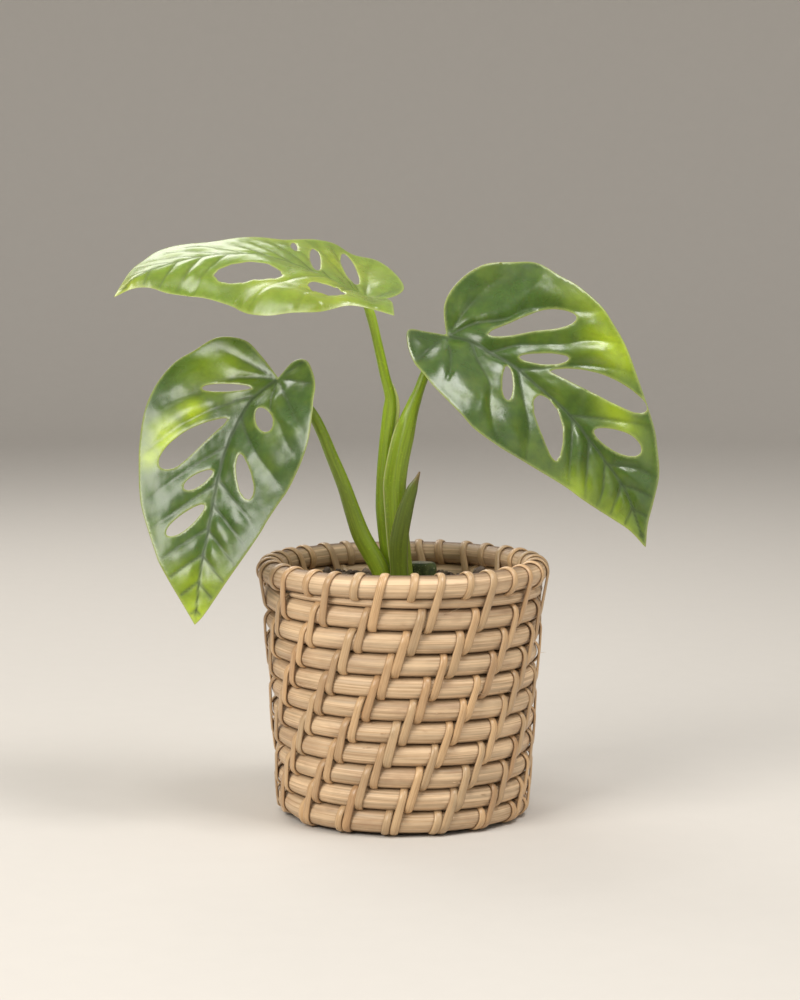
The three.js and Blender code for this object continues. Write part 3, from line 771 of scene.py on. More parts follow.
def lash_wall(skin, wraps, wall, settings):
    """Adds the slanting columns of stitches, the long ones over the rim, and the short rim wraps."""
    cane = wall.cane
    rng = np.random.default_rng(5)
    rim = (RIM_RADIUS, RIM_HEIGHT, RIM_CANE, RIM_CANE)
    step = settings.step / RIM_RADIUS
    for column in range(LASHINGS):
        angle = settings.first_angle + column / LASHINGS * TURN
        at = angle + rng.normal(0, 0.4 * MM) / RIM_RADIUS
        rows = wall.rows_at(at)
        taken = 2 if rows[-1][2] < 0.75 * cane.radius else 1
        tied = [(r, z, cane.radius * (0.7 if h < 2.5 * MM else 1), h) for r, z, h in rows[-taken:]]
        slant = settings.slant * 1.1
        stitch(skin, tied + [rim], at - 0.3 * step, slant, settings, rng, pinch_top=False, count=56)
        lower = len(rows) - taken
        leftward = 1
        while lower >= 1:
            at = angle - step * (leftward + 0.35) + rng.normal(0, 0.45 * MM) / RIM_RADIUS
            here = wall.rows_at(at)
            lower = min(lower, len(here) - 1)
            pair = [(r, z, cane.radius, h) for r, z, h in here[lower - 1:lower + 1]]
            stitch(skin, pair, at, settings.slant * rng.uniform(0.85, 1.15), settings, rng)
            lower -= 1
            leftward += 1
        at = angle - step * (leftward + 0.2)
        row = wall.rows_at(at)[0]
        pair = [(row[0], row[1], cane.radius, row[2]), base_row(BASE_RADIUS - BASE_HALF)]
        stitch(skin, pair, at, settings.slant * 0.4, settings, rng)
        at = angle + settings.wrap_offset / LASHINGS * TURN + rng.normal(0, 0.6 * MM) / RIM_RADIUS
        stitch(wraps, [rim], at, 2.2 * MM, settings, rng, pinch_top=False, count=40)


def base_row(radius):
    return (radius, BASE_MIDDLE, BASE_HALF, BASE_HALF_HEIGHT)


def lash_base(skin, settings):
    """Adds the stitches that tie the bottom's spiral, ring to ring."""
    rng = np.random.default_rng(8)
    for ring in range(BASE_RINGS - 1):
        outer = BASE_RADIUS - BASE_HALF - 2 * BASE_HALF * (ring + 0.25)
        inner = outer - 2 * BASE_HALF
        if inner <= 3 * MM:
            continue
        count = max(5, round(TURN * outer / (24 * MM)))
        for i in range(count):
            angle = i / count * TURN + ring * 0.5
            stitch(skin, [base_row(inner), base_row(outer)], angle, 0.5 * MM, settings, rng, count=32)


# ---- Soil ---------------------------------------------------------------------------------
def soil_height(x, y):
    """The soil's surface: rough, sunken towards the wall and a little lower on the right."""
    spot = np.stack([x, y], axis=-1)
    rough = 1.5 * waves(spot, 0.022, 31) + 0.8 * waves(spot, 0.007, 32) + 0.45 * waves(spot, 0.003, 33)
    edge = smoothstep(SOIL_RADIUS - 9 * MM, SOIL_RADIUS, np.hypot(x, y))
    slope = 1.4 * smoothstep(-0.01, 0.045, x)
    return SOIL_LEVEL + (rough - 0.9 - 1.2 * edge - slope) * MM


def soil_body(skin):
    """The soil in one piece, from its surface down to a narrower foot."""
    rings, sides = 56, 168
    radius = np.linspace(0, SOIL_RADIUS, rings + 1)[1:]
    ring, phi = circle(sides)
    x, y = radius[:, None] * ring[:, 0], radius[:, None] * ring[:, 1]
    top = np.stack([x, y, soil_height(x, y)], axis=-1)
    foot = polar(np.full(sides, SOIL_RADIUS - 6.5 * MM), phi, SOIL_FLOOR)
    points = np.vstack([[[0, 0, soil_height(0.0, 0.0)]], top.reshape(-1, 3), foot, [[0, 0, SOIL_FLOOR]]])
    faces = []
    for j in range(sides):
        k = (j + 1) % sides
        faces.append((0, 1 + j, 1 + k))
        for i in range(rings):
            near, far = 1 + i * sides, 1 + (i + 1) * sides
            faces.append((near + j, far + j, far + k, near + k))
        last = 1 + rings * sides
        faces.append((last + j, len(points) - 1, last + k))
    skin.add(points, faces, tint=np.clip(0.25 + 0.3 * waves(points, 0.006, 34), 0, 0.8))


def lump_shape():
    """The points and faces of a ball: a solid of 20 triangles, each split in four."""
    far = (1 + 5**0.5) / 2
    raw = [(-1, far, 0), (1, far, 0), (-1, -far, 0), (1, -far, 0), (0, -1, far), (0, 1, far),
           (0, -1, -far), (0, 1, -far), (far, 0, -1), (far, 0, 1), (-far, 0, -1), (-far, 0, 1)]
    faces = [(0, 11, 5), (0, 5, 1), (0, 1, 7), (0, 7, 10), (0, 10, 11), (1, 5, 9), (5, 11, 4),
             (11, 10, 2), (10, 7, 6), (7, 1, 8), (3, 9, 4), (3, 4, 2), (3, 2, 6), (3, 6, 8),
             (3, 8, 9), (4, 9, 5), (2, 4, 11), (6, 2, 10), (8, 6, 7), (9, 8, 1)]
    points = [np.array(p) / np.linalg.norm(p) for p in raw]
    middles = {}

    def middle(a, b):
        key = (min(a, b), max(a, b))
        if key not in middles:
            between = points[a] + points[b]
            points.append(between / np.linalg.norm(between))
            middles[key] = len(points) - 1
        return middles[key]

    split = []
    for a, b, c in faces:
        ab, bc, ca = middle(a, b), middle(b, c), middle(c, a)
        split.extend([(a, ab, ca), (ab, b, bc), (ca, bc, c), (ab, bc, ca)])
    return np.array(points), split


LARGEST_CRUMB = 3.2 * MM


def soil_crumbs(skin, settings):
    """Loose lumps strewn over the soil, each with its own shape and shade."""
    rng = np.random.default_rng(35)
    ball, faces = lump_shape()
    for i in range(settings.crumbs):
        radius = (SOIL_RADIUS - 3 * MM) * math.sqrt(rng.uniform(0, 1))
        angle = rng.uniform(0, TURN)
        x, y = radius * math.cos(angle), radius * math.sin(angle)
        size = min(settings.crumb_size * rng.lognormal(0, 0.45), LARGEST_CRUMB)
        shape = ball * (1 + 0.35 * waves(ball, 1.6, 100 + i, 6)[:, None])
        shape = shape * rng.uniform(0.55, 1.25, 3) * size
        spin = np.linalg.qr(rng.normal(size=(3, 3)))[0]
        height = float(soil_height(x, y)) + size * 0.3
        skin.add(shape @ spin + [x, y, height], faces, tint=rng.uniform(0, 1) ** 2)


# ---- Stalks, bract and stump --------------------------------------------------------------
def welded(node):
    """A CAD node's points, with doubles joined, and its faces."""
    mesh = NODES[node].data
    points = np.empty(len(mesh.vertices) * 3)
    mesh.vertices.foreach_get("co", points)
    points = points.reshape(-1, 3)
    matrix = np.array(NODES[node].matrix_world)
    points = points @ matrix[:3, :3].T + matrix[:3, 3]
    rounded = np.round(points, 6)
    kept, index = np.unique(rounded, axis=0, return_inverse=True)
    index = index.ravel()
    faces = []
    for polygon in mesh.polygons:
        corners = [int(index[v]) for v in polygon.vertices]
        corners = [c for k, c in enumerate(corners) if c != corners[k - 1]]
        if len(corners) > 2:
            faces.append(tuple(corners))
    return kept, faces


def rings_of(node):
    """The rings of a lofted CAD node from its foot up, each turned to start in the same place."""
    points, faces = welded(node)
    near = {}
    for face in faces:
        for k, corner in enumerate(face):
            near.setdefault(corner, set()).update((face[k - 1], face[(k + 1) % len(face)]))
    foot = points[:, 2].min()
    layer = {int(i) for i in np.nonzero(points[:, 2] < foot + 1e-5)[0]}
    seen = set(layer)
    layers = [sorted(layer)]
    while True:
        layer = {n for corner in layer for n in near[corner]} - seen
        if not layer:
            break
        seen |= layer
        layers.append(sorted(layer))
    sides = len(layers[0])
    if any(len(layer) != sides for layer in layers):
        raise RuntimeError(f"{node} isn't made of even rings: {[len(layer) for layer in layers]}")
    centres = np.array([points[layer].mean(axis=0) for layer in layers])
    along = unit(np.gradient(centres, axis=0))
    along[0] = (0, 0, 1)
    across = across_from(np.broadcast_to([1.0, 0, 0], along.shape), along)
    through = np.cross(along, across)
    rings = []
    for i, layer in enumerate(layers):
        spread = points[layer] - centres[i]
        turn = np.arctan2(spread @ through[i], spread @ across[i]) % TURN
        rings.append(spread[np.argsort(turn)] * math.cos(math.pi / sides))
    rings = np.array(rings)
    local = np.stack([np.sum(rings * across[:, None], -1), np.sum(rings * through[:, None], -1)], axis=-1)
    return centres, local


class Stalk:
    """A smooth stalk laid through a CAD node's rings, which can be shaped before it is made."""

    def __init__(self, node, sides, steps=7):
        centres, sections = rings_of(node)
        self.centres = refine(centres, steps, wraps=False)
        sections = refine(sections, steps, wraps=False)
        self.sections = refine(sections.transpose(1, 0, 2), sides, wraps=True).transpose(1, 0, 2).copy()
        self.orient()

    def orient(self):
        self.along = unit(np.gradient(self.centres, axis=0))
        self.along[0] = (0, 0, 1)
        self.across = across_from(np.broadcast_to([1.0, 0, 0], self.along.shape), self.along)
        self.through = np.cross(self.along, self.across)
        self.way = travelled(self.centres)

    def extend(self, target, shrink=0.8):
        """Carries the stalk on to a point, so that it grows into its leaf."""
        extra = 5
        t = np.linspace(0, 1, extra + 1)[1:, None]
        tail = self.centres[-1] + (np.asarray(target) - self.centres[-1]) * t
        self.centres = np.vstack([self.centres, tail])
        ends = [self.sections[-1] * (1 + (shrink - 1) * float(k)) for k in t[:, 0]]
        self.sections = np.concatenate([self.sections, np.array(ends)])
        self.orient()

    def add_to(self, skin, pale=0.0, dry=0.0):
        count, sides = self.sections.shape[:2]
        points, faces = sweep(self.centres, self.across, self.through, self.sections)
        grain = grain_of(self.way, self.sections).reshape(-1, 3)
        pale, dry = (np.broadcast_to(np.clip(value, 0, 1), (count, sides)).ravel() for value in (pale, dry))
        skin.add(points, faces, grain=grain, pale=pale, dry=dry)

    def wing(self, skin, turn, start, end, reach, curl):
        """Adds a thin sheath wing that stands out from the stalk at an angle round it."""
        thickness, across = 0.35 * MM, 7
        picked = np.nonzero((self.way >= start * self.way[-1]) & (self.way <= end * self.way[-1]))[0]
        t = (self.way[picked] - self.way[picked[0]]) / (self.way[picked[-1]] - self.way[picked[0]])
        swell = np.sin(np.pi * np.clip(t, 0.02, 0.985)) ** 0.55
        aim = np.array([math.cos(turn), math.sin(turn)])
        square = np.array([-aim[1], aim[0]])
        sections = []
        for k, ring in enumerate(picked):
            root = np.max(self.sections[ring] @ aim) * 0.55
            out = np.linspace(root, root + reach * swell[k], across)
            bend = curl * reach * ((out - root) / max(reach, 1e-9)) ** 2
            wide = thickness * np.linspace(1.4, 0.35, across)
            left = out[:, None] * aim + (bend + wide / 2)[:, None] * square
            right = out[:, None] * aim + (bend - wide / 2)[:, None] * square
            sections.append(np.vstack([left, right[::-1]]))
        sections = np.array(sections)
        points, faces = sweep(self.centres[picked], self.across[picked], self.through[picked], sections)
        grain = grain_of(self.way[picked], sections).reshape(-1, 3)
        outward = np.concatenate([np.linspace(0, 1, across), np.linspace(1, 0, across)])
        pale = np.broadcast_to(smoothstep(0.35, 1.0, outward), sections.shape[:2]).ravel()
        skin.add(points, faces, grain=grain, pale=pale, dry=0)


# The sheaths' wings: degrees round the stalk, where each starts and ends as shares of the
# stalk, how far it stands out, and its curl.
WINGS = {
    "petiole_middle": [(-20, 0.45, 0.72, 3.2 * MM, 0.4), (200, 0.02, 0.55, 1.4 * MM, 0.3)],
    "petiole_left": [(170, 0.04, 0.40, 1.8 * MM, -0.4)],
}
# The old stump's outline from its foot to its cut face, as shares of its height and half width.
STUMP_PROFILE = [
    (0.0, 1.0), (0.25, 1.0), (0.5, 0.99), (0.72, 0.97), (0.86, 0.93), (0.95, 0.86),
    (1.0, 0.76), (1.0, 0.5), (0.99, 0.2),
]


# ---- Leaves -------------------------------------------------------------------------------
# How much each leaf swells between its veins, its patches of painted light shining through the blade, and
# which way it faces.
# A patch is (share along the midrib, distance out as a share of the half's width, reach in mm
# along, reach in mm out, strength). On the other half its distance is below 0.
LEAF_SHAPES = {
    "leaf_left": {
        "quilting": 1.0,
        "patches": [(0.35, 0.64, 9, 9, 1.0), (0.25, 0.48, 7, 8, 0.9), (0.42, 0.74, 6, 7, 0.7),
                    (1.0, 0.0, 17, 30, 0.95), (0.86, 0.0, 12, 30, 0.45), (0.1, 0.5, 14, 22, 0.3)],
        "up": (-0.2, -0.8, 0.4),
    },
    "leaf_right": {
        "quilting": 1.7,
        "patches": [(0.45, -0.75, 16, 12, 0.8), (0.6, -0.35, 16, 8, 0.6), (0.92, 0.3, 18, 12, 0.7),
                    (0.72, 0.55, 14, 12, 0.6), (0.35, -0.9, 20, 9, 0.5), (0.8, 0.85, 18, 8, 0.55)],
        "up": (0.2, -0.8, 0.5),
    },
    "leaf_top": {
        "quilting": 0.9,
        "patches": [(1.0, 0.0, 11, 20, 1.0), (0.45, 0.8, 20, 14, 0.6), (0.1, -0.6, 22, 22, 0.6),
                    (0.35, -0.6, 16, 14, 0.5), (0.15, 0.6, 20, 18, 0.5)],
        "up": (0.0, -0.5, 0.9),
    },
}
# Where each midrib runs, from the stalk's joint to the tip, as shares of the leaf's own box.
MIDRIBS = {
    "leaf_left": [
        (0.781, 0.703, 0.856), (0.640, 0.623, 0.781), (0.572, 0.560, 0.717), (0.494, 0.465, 0.603),
        (0.442, 0.354, 0.468), (0.401, 0.228, 0.311), (0.370, 0.133, 0.204), (0.334, 0.006, 0.001),
    ],
    "leaf_right": [
        (0.156, 0.721, 0.742), (0.244, 0.655, 0.725), (0.323, 0.607, 0.684), (0.410, 0.574, 0.643),
        (0.501, 0.541, 0.576), (0.635, 0.509, 0.470), (0.794, 0.476, 0.289), (0.871, 0.460, 0.184),
        (0.942, 0.427, 0.001),
    ],
    "leaf_top": [
        (0.865, 0.495, 0.124), (0.792, 0.505, 0.288), (0.723, 0.515, 0.452), (0.583, 0.525, 0.686),
        (0.441, 0.525, 0.782), (0.299, 0.505, 0.742), (0.217, 0.485, 0.675), (0.087, 0.445, 0.500),
        (0.001, 0.405, 0.202),
    ],
}


class Blade:
    """A CAD leaf's upper skin, flattened on its mean plane, with its margin and its holes."""

    def __init__(self, node, spacing):
        self.node = node
        self.points, faces = welded(node)
        shape = LEAF_SHAPES[node]
        self.rib = self.midrib(node)
        patch = self.upper_faces(faces, unit(np.array(shape["up"], dtype=float)))
        self.set_plane()
        outlines = self.outline(patch)
        self.loops = [self.smooth_loop(outline, spacing) for outline in outlines]
        on_edge = {corner for outline in outlines for corner in outline}
        within = sorted({corner for face in patch for corner in face} - on_edge)
        every_third = [loop[::3] for loop in self.loops]
        known = [*every_third, self.flatten(self.points[within])]
        self.fit_height(np.vstack(known))

    @staticmethod
    def midrib(node):
        low, high = (np.array(corner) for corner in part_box(node))
        table = np.array(MIDRIBS[node])
        return refine(low + table * (high - low), 12, wraps=False)

    def upper_faces(self, faces, up):
        """The faces of the upper skin: all that can be reached without turning a sharp edge."""
        normals, kept = [], []
        for face in faces:
            a, b, c = self.points[list(face[:3])]
            normal = np.cross(b - a, c - a)
            size = np.linalg.norm(normal)
            longest = max(np.linalg.norm(b - a), np.linalg.norm(c - b), np.linalg.norm(a - c))
            is_sliver = size < longest * 0.04 * MM
            normals.append(None if is_sliver else normal / size)
            kept.append((face, size))
        edges = {}
        for i, (face, _) in enumerate(kept):
            for k, corner in enumerate(face):
                edges.setdefault(frozenset((face[k - 1], corner)), []).append(i)
        broad = [i for i, normal in enumerate(normals) if normal is not None]
        best = max(broad, key=lambda i: kept[i][1] * float(normals[i] @ up))
        seen, queue = {best}, [(best, normals[best])]
        while queue:
            i, facing = queue.pop()
            face = kept[i][0]
            for k, corner in enumerate(face):
                for j in edges[frozenset((face[k - 1], corner))]:
                    if j not in seen and (normals[j] is None or facing @ normals[j] > 0.55):
                        seen.add(j)
                        queue.append((j, facing if normals[j] is None else normals[j]))
        self.normal = unit(sum(normals[i] * kept[i][1] for i in seen if normals[i] is not None))
        return [kept[i][0] for i in sorted(seen)]

    def outline(self, patch):
        """The closed loops that bound the skin, the longest first."""
        edges = {(face[k - 1], corner): True for face in patch for k, corner in enumerate(face)}
        follow = {a: b for a, b in edges if (b, a) not in edges}
        loops = []
        while follow:
            start = next(iter(follow))
            loop, here = [start], follow.pop(start)
            while here != start and here in follow:
                loop.append(here)
                here = follow.pop(here)
            if len(loop) > 4:
                loops.append(loop)
        size = [travelled(self.points[loop + loop[:1]])[-1] for loop in loops]
        return [loops[i] for i in np.argsort(size)[::-1]]

    def set_plane(self):
        """Lays the mean plane through the joint, with its first axis towards the tip."""
        self.origin = self.rib[0]
        ahead = self.rib[-1] - self.rib[0]
        self.ahead = unit(ahead - self.normal * (ahead @ self.normal))
        self.side = np.cross(self.ahead, self.normal)
        self.axes = np.stack([self.ahead, self.side, self.normal])
        self.flat_rib = self.flatten(self.rib)[:, :2]

    def flatten(self, points):
        return (points - self.origin) @ self.axes.T

    def fit_height(self, flat):
        """Fits a smooth bending plate through the skin's heights over the mean plane."""
        self.sources = flat[:, :2]
        count = len(flat)
        plate = self.kernel(self.sources, self.sources) + np.eye(count) * 1e-9
        linear = np.hstack([np.ones((count, 1)), self.sources])
        system = np.block([[plate, linear], [linear.T, np.zeros((3, 3))]])
        self.weights = np.linalg.solve(system, np.concatenate([flat[:, 2], np.zeros(3)]))

    @staticmethod
    def kernel(a, b):
        squared = np.sum((a[:, None] - b[None]) ** 2, axis=-1)
        return 0.5 * squared * np.log(np.maximum(squared, 1e-18))

    def height(self, flat):
        linear = np.hstack([np.ones((len(flat), 1)), flat])
        return np.hstack([self.kernel(flat, self.sources), linear]) @ self.weights

    def smooth_loop(self, loop, spacing):
        """A loop's points over the mean plane, rounded between its sharp corners."""
        flat = without_needles(self.flatten(self.points[loop]))
        before, after = unit(flat - np.roll(flat, 1, axis=0)), unit(np.roll(flat, -1, axis=0) - flat)
        keep = np.sum(before * after, axis=1) < math.cos(math.radians(3))
        flat = spaced(flat[keep], 0.9 * MM)
        before, after = unit(flat - np.roll(flat, 1, axis=0)), unit(np.roll(flat, -1, axis=0) - flat)
        sharp = np.nonzero(np.sum(before * after, axis=1) < math.cos(math.radians(88)))[0]
        if len(sharp) == 0:
            curve = refine(flat, 8, wraps=True)
            return untangled(thin_out(curve, spacing, closed=True))
        chains = []
        for k, start in enumerate(sharp):
            end = sharp[(k + 1) % len(sharp)]
            span = (end - start) % len(flat) or len(flat)
            chain = flat[(start + np.arange(span + 1)) % len(flat)]
            curve = refine(chain, 8, wraps=False) if len(chain) > 2 else chain
            chains.append(thin_out(curve, spacing, closed=False)[:-1])
        return untangled(np.vstack(chains))


def without_needles(flat):
    """A closed loop without the needles where it runs out along a thin face and straight back."""
    while True:
        before, after = unit(flat - np.roll(flat, 1, axis=0)), unit(np.roll(flat, -1, axis=0) - flat)
        needle = np.sum(before * after, axis=1) < -0.97
        if not needle.any():
            return flat
        flat = flat[~needle]


def spaced(flat, least):
    """A closed loop without the points that crowd the one before."""
    kept = [flat[0]]
    for point in flat[1:]:
        if np.linalg.norm(point - kept[-1]) > least and np.linalg.norm(point - kept[0]) > least:
            kept.append(point)
    return np.array(kept)


def untangled(loop):
    """A closed loop without the small curls where it crosses itself."""

    def turn(a, b, c):
        return (b[0] - a[0]) * (c[1] - a[1]) - (b[1] - a[1]) * (c[0] - a[0])

    points = list(loop)
    i = 0
    while i < len(points):
        count = len(points)
        a, b = points[i], points[(i + 1) % count]
        for j in range(2, min(14, count - 2)):
            c, d = points[(i + j) % count], points[(i + j + 1) % count]
            if turn(a, b, c) * turn(a, b, d) <= 0 and turn(c, d, a) * turn(c, d, b) <= 0:
                dropped = {(i + k) % count for k in range(1, j + 1)}
                points = [p for k, p in enumerate(points) if k not in dropped]
                i = -1
                break
        i += 1
    return np.array(points)


def thin_out(curve, spacing, closed):
    """Evenly spaced points along a curve, with both ends kept if it is open."""
    path = np.vstack([curve, curve[:1]]) if closed else curve
    way = travelled(path)
    count = max(2, round(way[-1] / spacing))
    spots = np.linspace(0, way[-1], count + 1)
    if closed:
        spots = spots[:-1]
    return np.stack([np.interp(spots, way, path[:, k]) for k in range(path.shape[1])], axis=-1)


def inside(points, loop):
    """Whether each point lies inside a closed loop."""
    x, y = points[:, 0], points[:, 1]
    result = np.zeros(len(points), dtype=bool)
    for (ax, ay), (bx, by) in zip(loop[:, :2], np.roll(loop[:, :2], -1, axis=0)):
        if ay == by:
            continue
        crosses = (ay > y) != (by > y)
        result ^= crosses & (x < (bx - ax) * (y - ay) / (by - ay) + ax)
    return result


def nearest(points, others):
    """Distance from each point to the nearest of the others."""
    found = np.empty(len(points))
    for start in range(0, len(points), 2000):
        block = points[start:start + 2000]
        found[start:start + 2000] = np.sqrt(((block[:, None] - others[None]) ** 2).sum(-1).min(1))
    return found


def beside_rib(points, rib):
    """For each point: how far along the midrib it lies, and how far out, with the right above 0.

    Before the midrib's start the measure along it runs below 0.
    """
    way = travelled(rib)
    gap = ((points[:, None] - rib[None]) ** 2).sum(-1)
    index = np.clip(gap.argmin(1), 1, len(rib) - 2)
    ahead = unit(rib[index + 1] - rib[index - 1])
    offset = points - rib[index]
    along = way[index] + np.sum(offset * ahead, axis=1)
    out = offset[:, 0] * ahead[:, 1] - offset[:, 1] * ahead[:, 0]
    return along, -out, way[-1]


# How far a side vein leans to the tip for each step out, and the midrib's length that stands for
# each radian of the fan of veins behind the joint.
VEIN_LEAN = 0.95
LOBE_FAN = 16 * MM


def vein_phase(along, out):
    """Where on the midrib the side vein through a point starts, running below 0 round the lobe."""
    wide = np.abs(out)
    straight = along - VEIN_LEAN * wide - 1.2 * wide**2
    behind = VEIN_LEAN * wide - along
    turn = np.arctan2(behind, wide + 1e-6)
    level = np.arctan2(behind, wide + VEIN_LEAN * along + 1e-6)
    return np.where(straight >= 0, straight, -LOBE_FAN * np.clip(np.where(level < 0, turn, level), 0, 3))


def vein_places(blade, loops, total):
    """Start of each side vein, one list for each half: between the holes, then evenly spaced."""
    places = {}
    for half in (1, -1):
        spans = []
        for loop in loops[1:]:
            along, out, _ = beside_rib(loop, blade.flat_rib)
            if np.sign(out.mean()) == half:
                phase = vein_phase(along, out)
                spans.append((phase.min(), phase.max()))
        spans.sort()
        marks = [-1.9 * LOBE_FAN, -1.15 * LOBE_FAN, -0.5 * LOBE_FAN]
        edges = [0.0] + [value for span in spans for value in span] + [total]
        for low, high in zip(edges[0::2], edges[1::2]):
            room = high - low
            if room > 26 * MM:
                count = round(room / (13 * MM))
                marks.extend(low + room * (k + 0.5) / count for k in range(count))
            else:
                marks.append((low + high) / 2)
        places[half] = np.array(sorted(marks))
    return places


def make_leaf(node, settings, material, slot):
    """Meshes one leaf flat, within its margin and round its holes, then shapes it."""
    spacing = settings.grid
    blade = Blade(node, spacing * 0.72)
    loops = [loop[:, :2] for loop in blade.loops]
    low, high = loops[0].min(axis=0), loops[0].max(axis=0)
    rows = np.arange(low[1], high[1], spacing * 0.866)
    columns = np.arange(low[0], high[0], spacing)
    grid = np.array([(x + (k % 2) * spacing / 2, y) for k, y in enumerate(rows) for x in columns])
    grid = grid[inside(grid, loops[0])]
    for hole in loops[1:]:
        grid = grid[~inside(grid, hole)]
    border = np.vstack(loops)
    grid = grid[nearest(grid, border) > spacing * 0.55]
    flat = np.vstack([border, grid])
    edges = []
    start = 0
    for loop in loops:
        count = len(loop)
        edges.extend((start + k, start + (k + 1) % count) for k in range(count))
        start += count
    made = delaunay_2d_cdt([Vector(p) for p in (flat / MM).tolist()], edges, [], 0, 1e-5)
    corners = np.array([tuple(v) for v in made[0]]) * MM
    triangles = np.array([tuple(face) for face in made[2]])
    middles = corners[triangles].mean(axis=1)
    good = inside(middles, loops[0])
    for hole in loops[1:]:
        good &= ~inside(middles, hole)
    used, triangles = np.unique(triangles[good], return_inverse=True)
    triangles = triangles.reshape(-1, 3)
    shape = shape_leaf(blade, corners[used], triangles, loops, settings)
    shape.piece("visual_" + node, material, slot, [node])


def open_edges(flat, triangles):
    """The directed edges round the mesh and its holes, and each edge point's way out."""
    a, b, c = (flat[triangles[:, k]] for k in range(3))
    turned = (b[:, 0] - a[:, 0]) * (c[:, 1] - a[:, 1]) - (b[:, 1] - a[:, 1]) * (c[:, 0] - a[:, 0]) < 0
    triangles[turned] = triangles[turned][:, ::-1]
    directed = {(t[k - 1], t[k]) for t in triangles.tolist() for k in range(3)}
    edges = sorted((a, b) for a, b in directed if (b, a) not in directed)
    outward = np.zeros_like(flat)
    for a, b in edges:
        step = flat[b] - flat[a]
        square = np.array([step[1], -step[0]])
        outward[a] += square
        outward[b] += square
    return edges, unit(outward)


def vein_gaps(blade, loops, along, out, total):
    """How far each point is from its nearest side vein, and how wide its strip between two is."""
    phase = vein_phase(along, out)
    places = vein_places(blade, loops, total)
    gap, room = np.ones(len(out)), np.ones(len(out))
    for half in (1, -1):
        on = np.sign(out + 1e-12) == half
        distance = np.sort(np.abs(phase[on, None] - places[half][None]), axis=1)
        gap[on] = distance[:, 0]
        room[on] = distance[:, :2].sum(axis=1)
    return gap, room


# How far the midrib and the side veins stand out below and sink in above, how wide a side vein
# and a leaf's pale edge line are, and how far the blade's middle lies below its upper face.
RIB_RIDGE, RIB_GROOVE = 0.9 * MM, 0.08 * MM
VEIN_RIDGE, VEIN_GROOVE, VEIN_WIDTH = 0.25 * MM, 0.10 * MM, 1.1 * MM
EDGE_LINE = 0.7 * MM
MIDDLE_DEPTH = 0.25 * MM
# The blade's fine unevenness, as (height, size), and the margin's long waves with their reach.
FINE_WAVES = [(0.13 * MM, 0.012), (0.035 * MM, 0.005)]
MARGIN_WAVE, MARGIN_WAVE_SIZE, MARGIN_WAVE_REACH = 0.45 * MM, 0.045, 14 * MM


class Relief:
    """A leaf's veins and swelling at each point of its flat mesh.

    Both fade in the lobes behind the joint, where the veins crowd together.
    """

    def __init__(self, blade, flat, loops, settings):
        self.along, self.out, self.total = beside_rib(flat, blade.flat_rib)
        along, total, wide = self.along, self.total, np.abs(self.out)
        margin = nearest(flat, loops[0])
        self.rim = np.minimum(margin, nearest(flat, np.vstack(loops)))
        behind = np.arctan2(-along, wide)
        start = smoothstep(1.3, 0.7, behind) * smoothstep(0, 5 * MM, np.hypot(along, wide))
        rib_size = (1.3 - 0.7 * np.clip(along / total, 0, 1)) * MM
        on_rib = smoothstep(-3 * MM, 0, along) * smoothstep(total + 1 * MM, total - 6 * MM, along)
        self.rib = np.exp(-((wide / rib_size) ** 2)) * on_rib
        taper = 1.3 - np.clip(along / total, 0, 1)
        self.ridge = RIB_RIDGE * np.exp(-((wide / (1.3 * rib_size)) ** 2)) * on_rib * taper
        gap, room = vein_gaps(blade, loops, along, self.out, total)
        self.vein = np.exp(-((gap / VEIN_WIDTH) ** 2)) * smoothstep(0, 1.5 * MM, self.rim)
        self.vein *= (0.35 + 0.65 * smoothstep(32 * MM, 4 * MM, wide)) * smoothstep(1.45, 1.0, behind)
        puff = np.sin(np.pi * np.clip(gap / np.maximum(room, 1e-6), 0, 1))
        quilt = LEAF_SHAPES[blade.node]["quilting"] * puff * start
        quilt *= smoothstep(0, 5 * MM, wide) * smoothstep(1 * MM, 15 * MM, margin)
        seed = sum(map(ord, blade.node))
        self.lift = settings.quilting * quilt * (1 + 0.5 * waves(flat, 0.03, seed))
        fade = smoothstep(0, 7 * MM, margin) * start
        for k, (height, size) in enumerate(FINE_WAVES):
            self.lift += height * waves(flat, size, seed + 1 + k) * fade
        near_margin = smoothstep(MARGIN_WAVE_REACH, 0, margin)
        self.lift += MARGIN_WAVE * waves(flat, MARGIN_WAVE_SIZE, seed + 3) * near_margin * start

    def patches(self, node):
        """How far each point lies in one of the leaf's patches of painted light, where light seems to shine
        through the blade.
        """
        value = np.zeros(len(self.along))
        half_width = {1: self.out.max(), -1: -self.out.min()}
        for where, aside, reach_along, reach_out, strength in LEAF_SHAPES[node]["patches"]:
            centre = aside * half_width[1 if aside > 0 else -1]
            away_along = (self.along - where * self.total) / (reach_along * MM)
            away_out = (self.out - centre) / (reach_out * MM)
            value = np.maximum(value, strength * np.exp(-(away_along**2 + away_out**2) * 1.2))
        return value


def bent(blade, flat, rim):
    """The upper face's height at each point, which on the rims is the rims' own."""
    height = blade.height(flat)
    rims = np.vstack(blade.loops)
    on_rim = np.nonzero(rim < 0.02 * MM)[0]
    closest = ((flat[on_rim, None] - rims[None, :, :2]) ** 2).sum(-1).argmin(axis=1)
    height[on_rim] = rims[closest, 2]
    return height


def blade_normals(blade, flat):
    """The way each point of the flat mesh faces once the blade is bent."""
    step = 0.2 * MM
    slopes = [
        (blade.height(flat - way) - blade.height(flat + way)) / (2 * step)
        for way in (np.array([step, 0]), np.array([0, step]))
    ]
    return unit(np.stack([*slopes, np.ones(len(flat))], axis=-1)) @ blade.axes


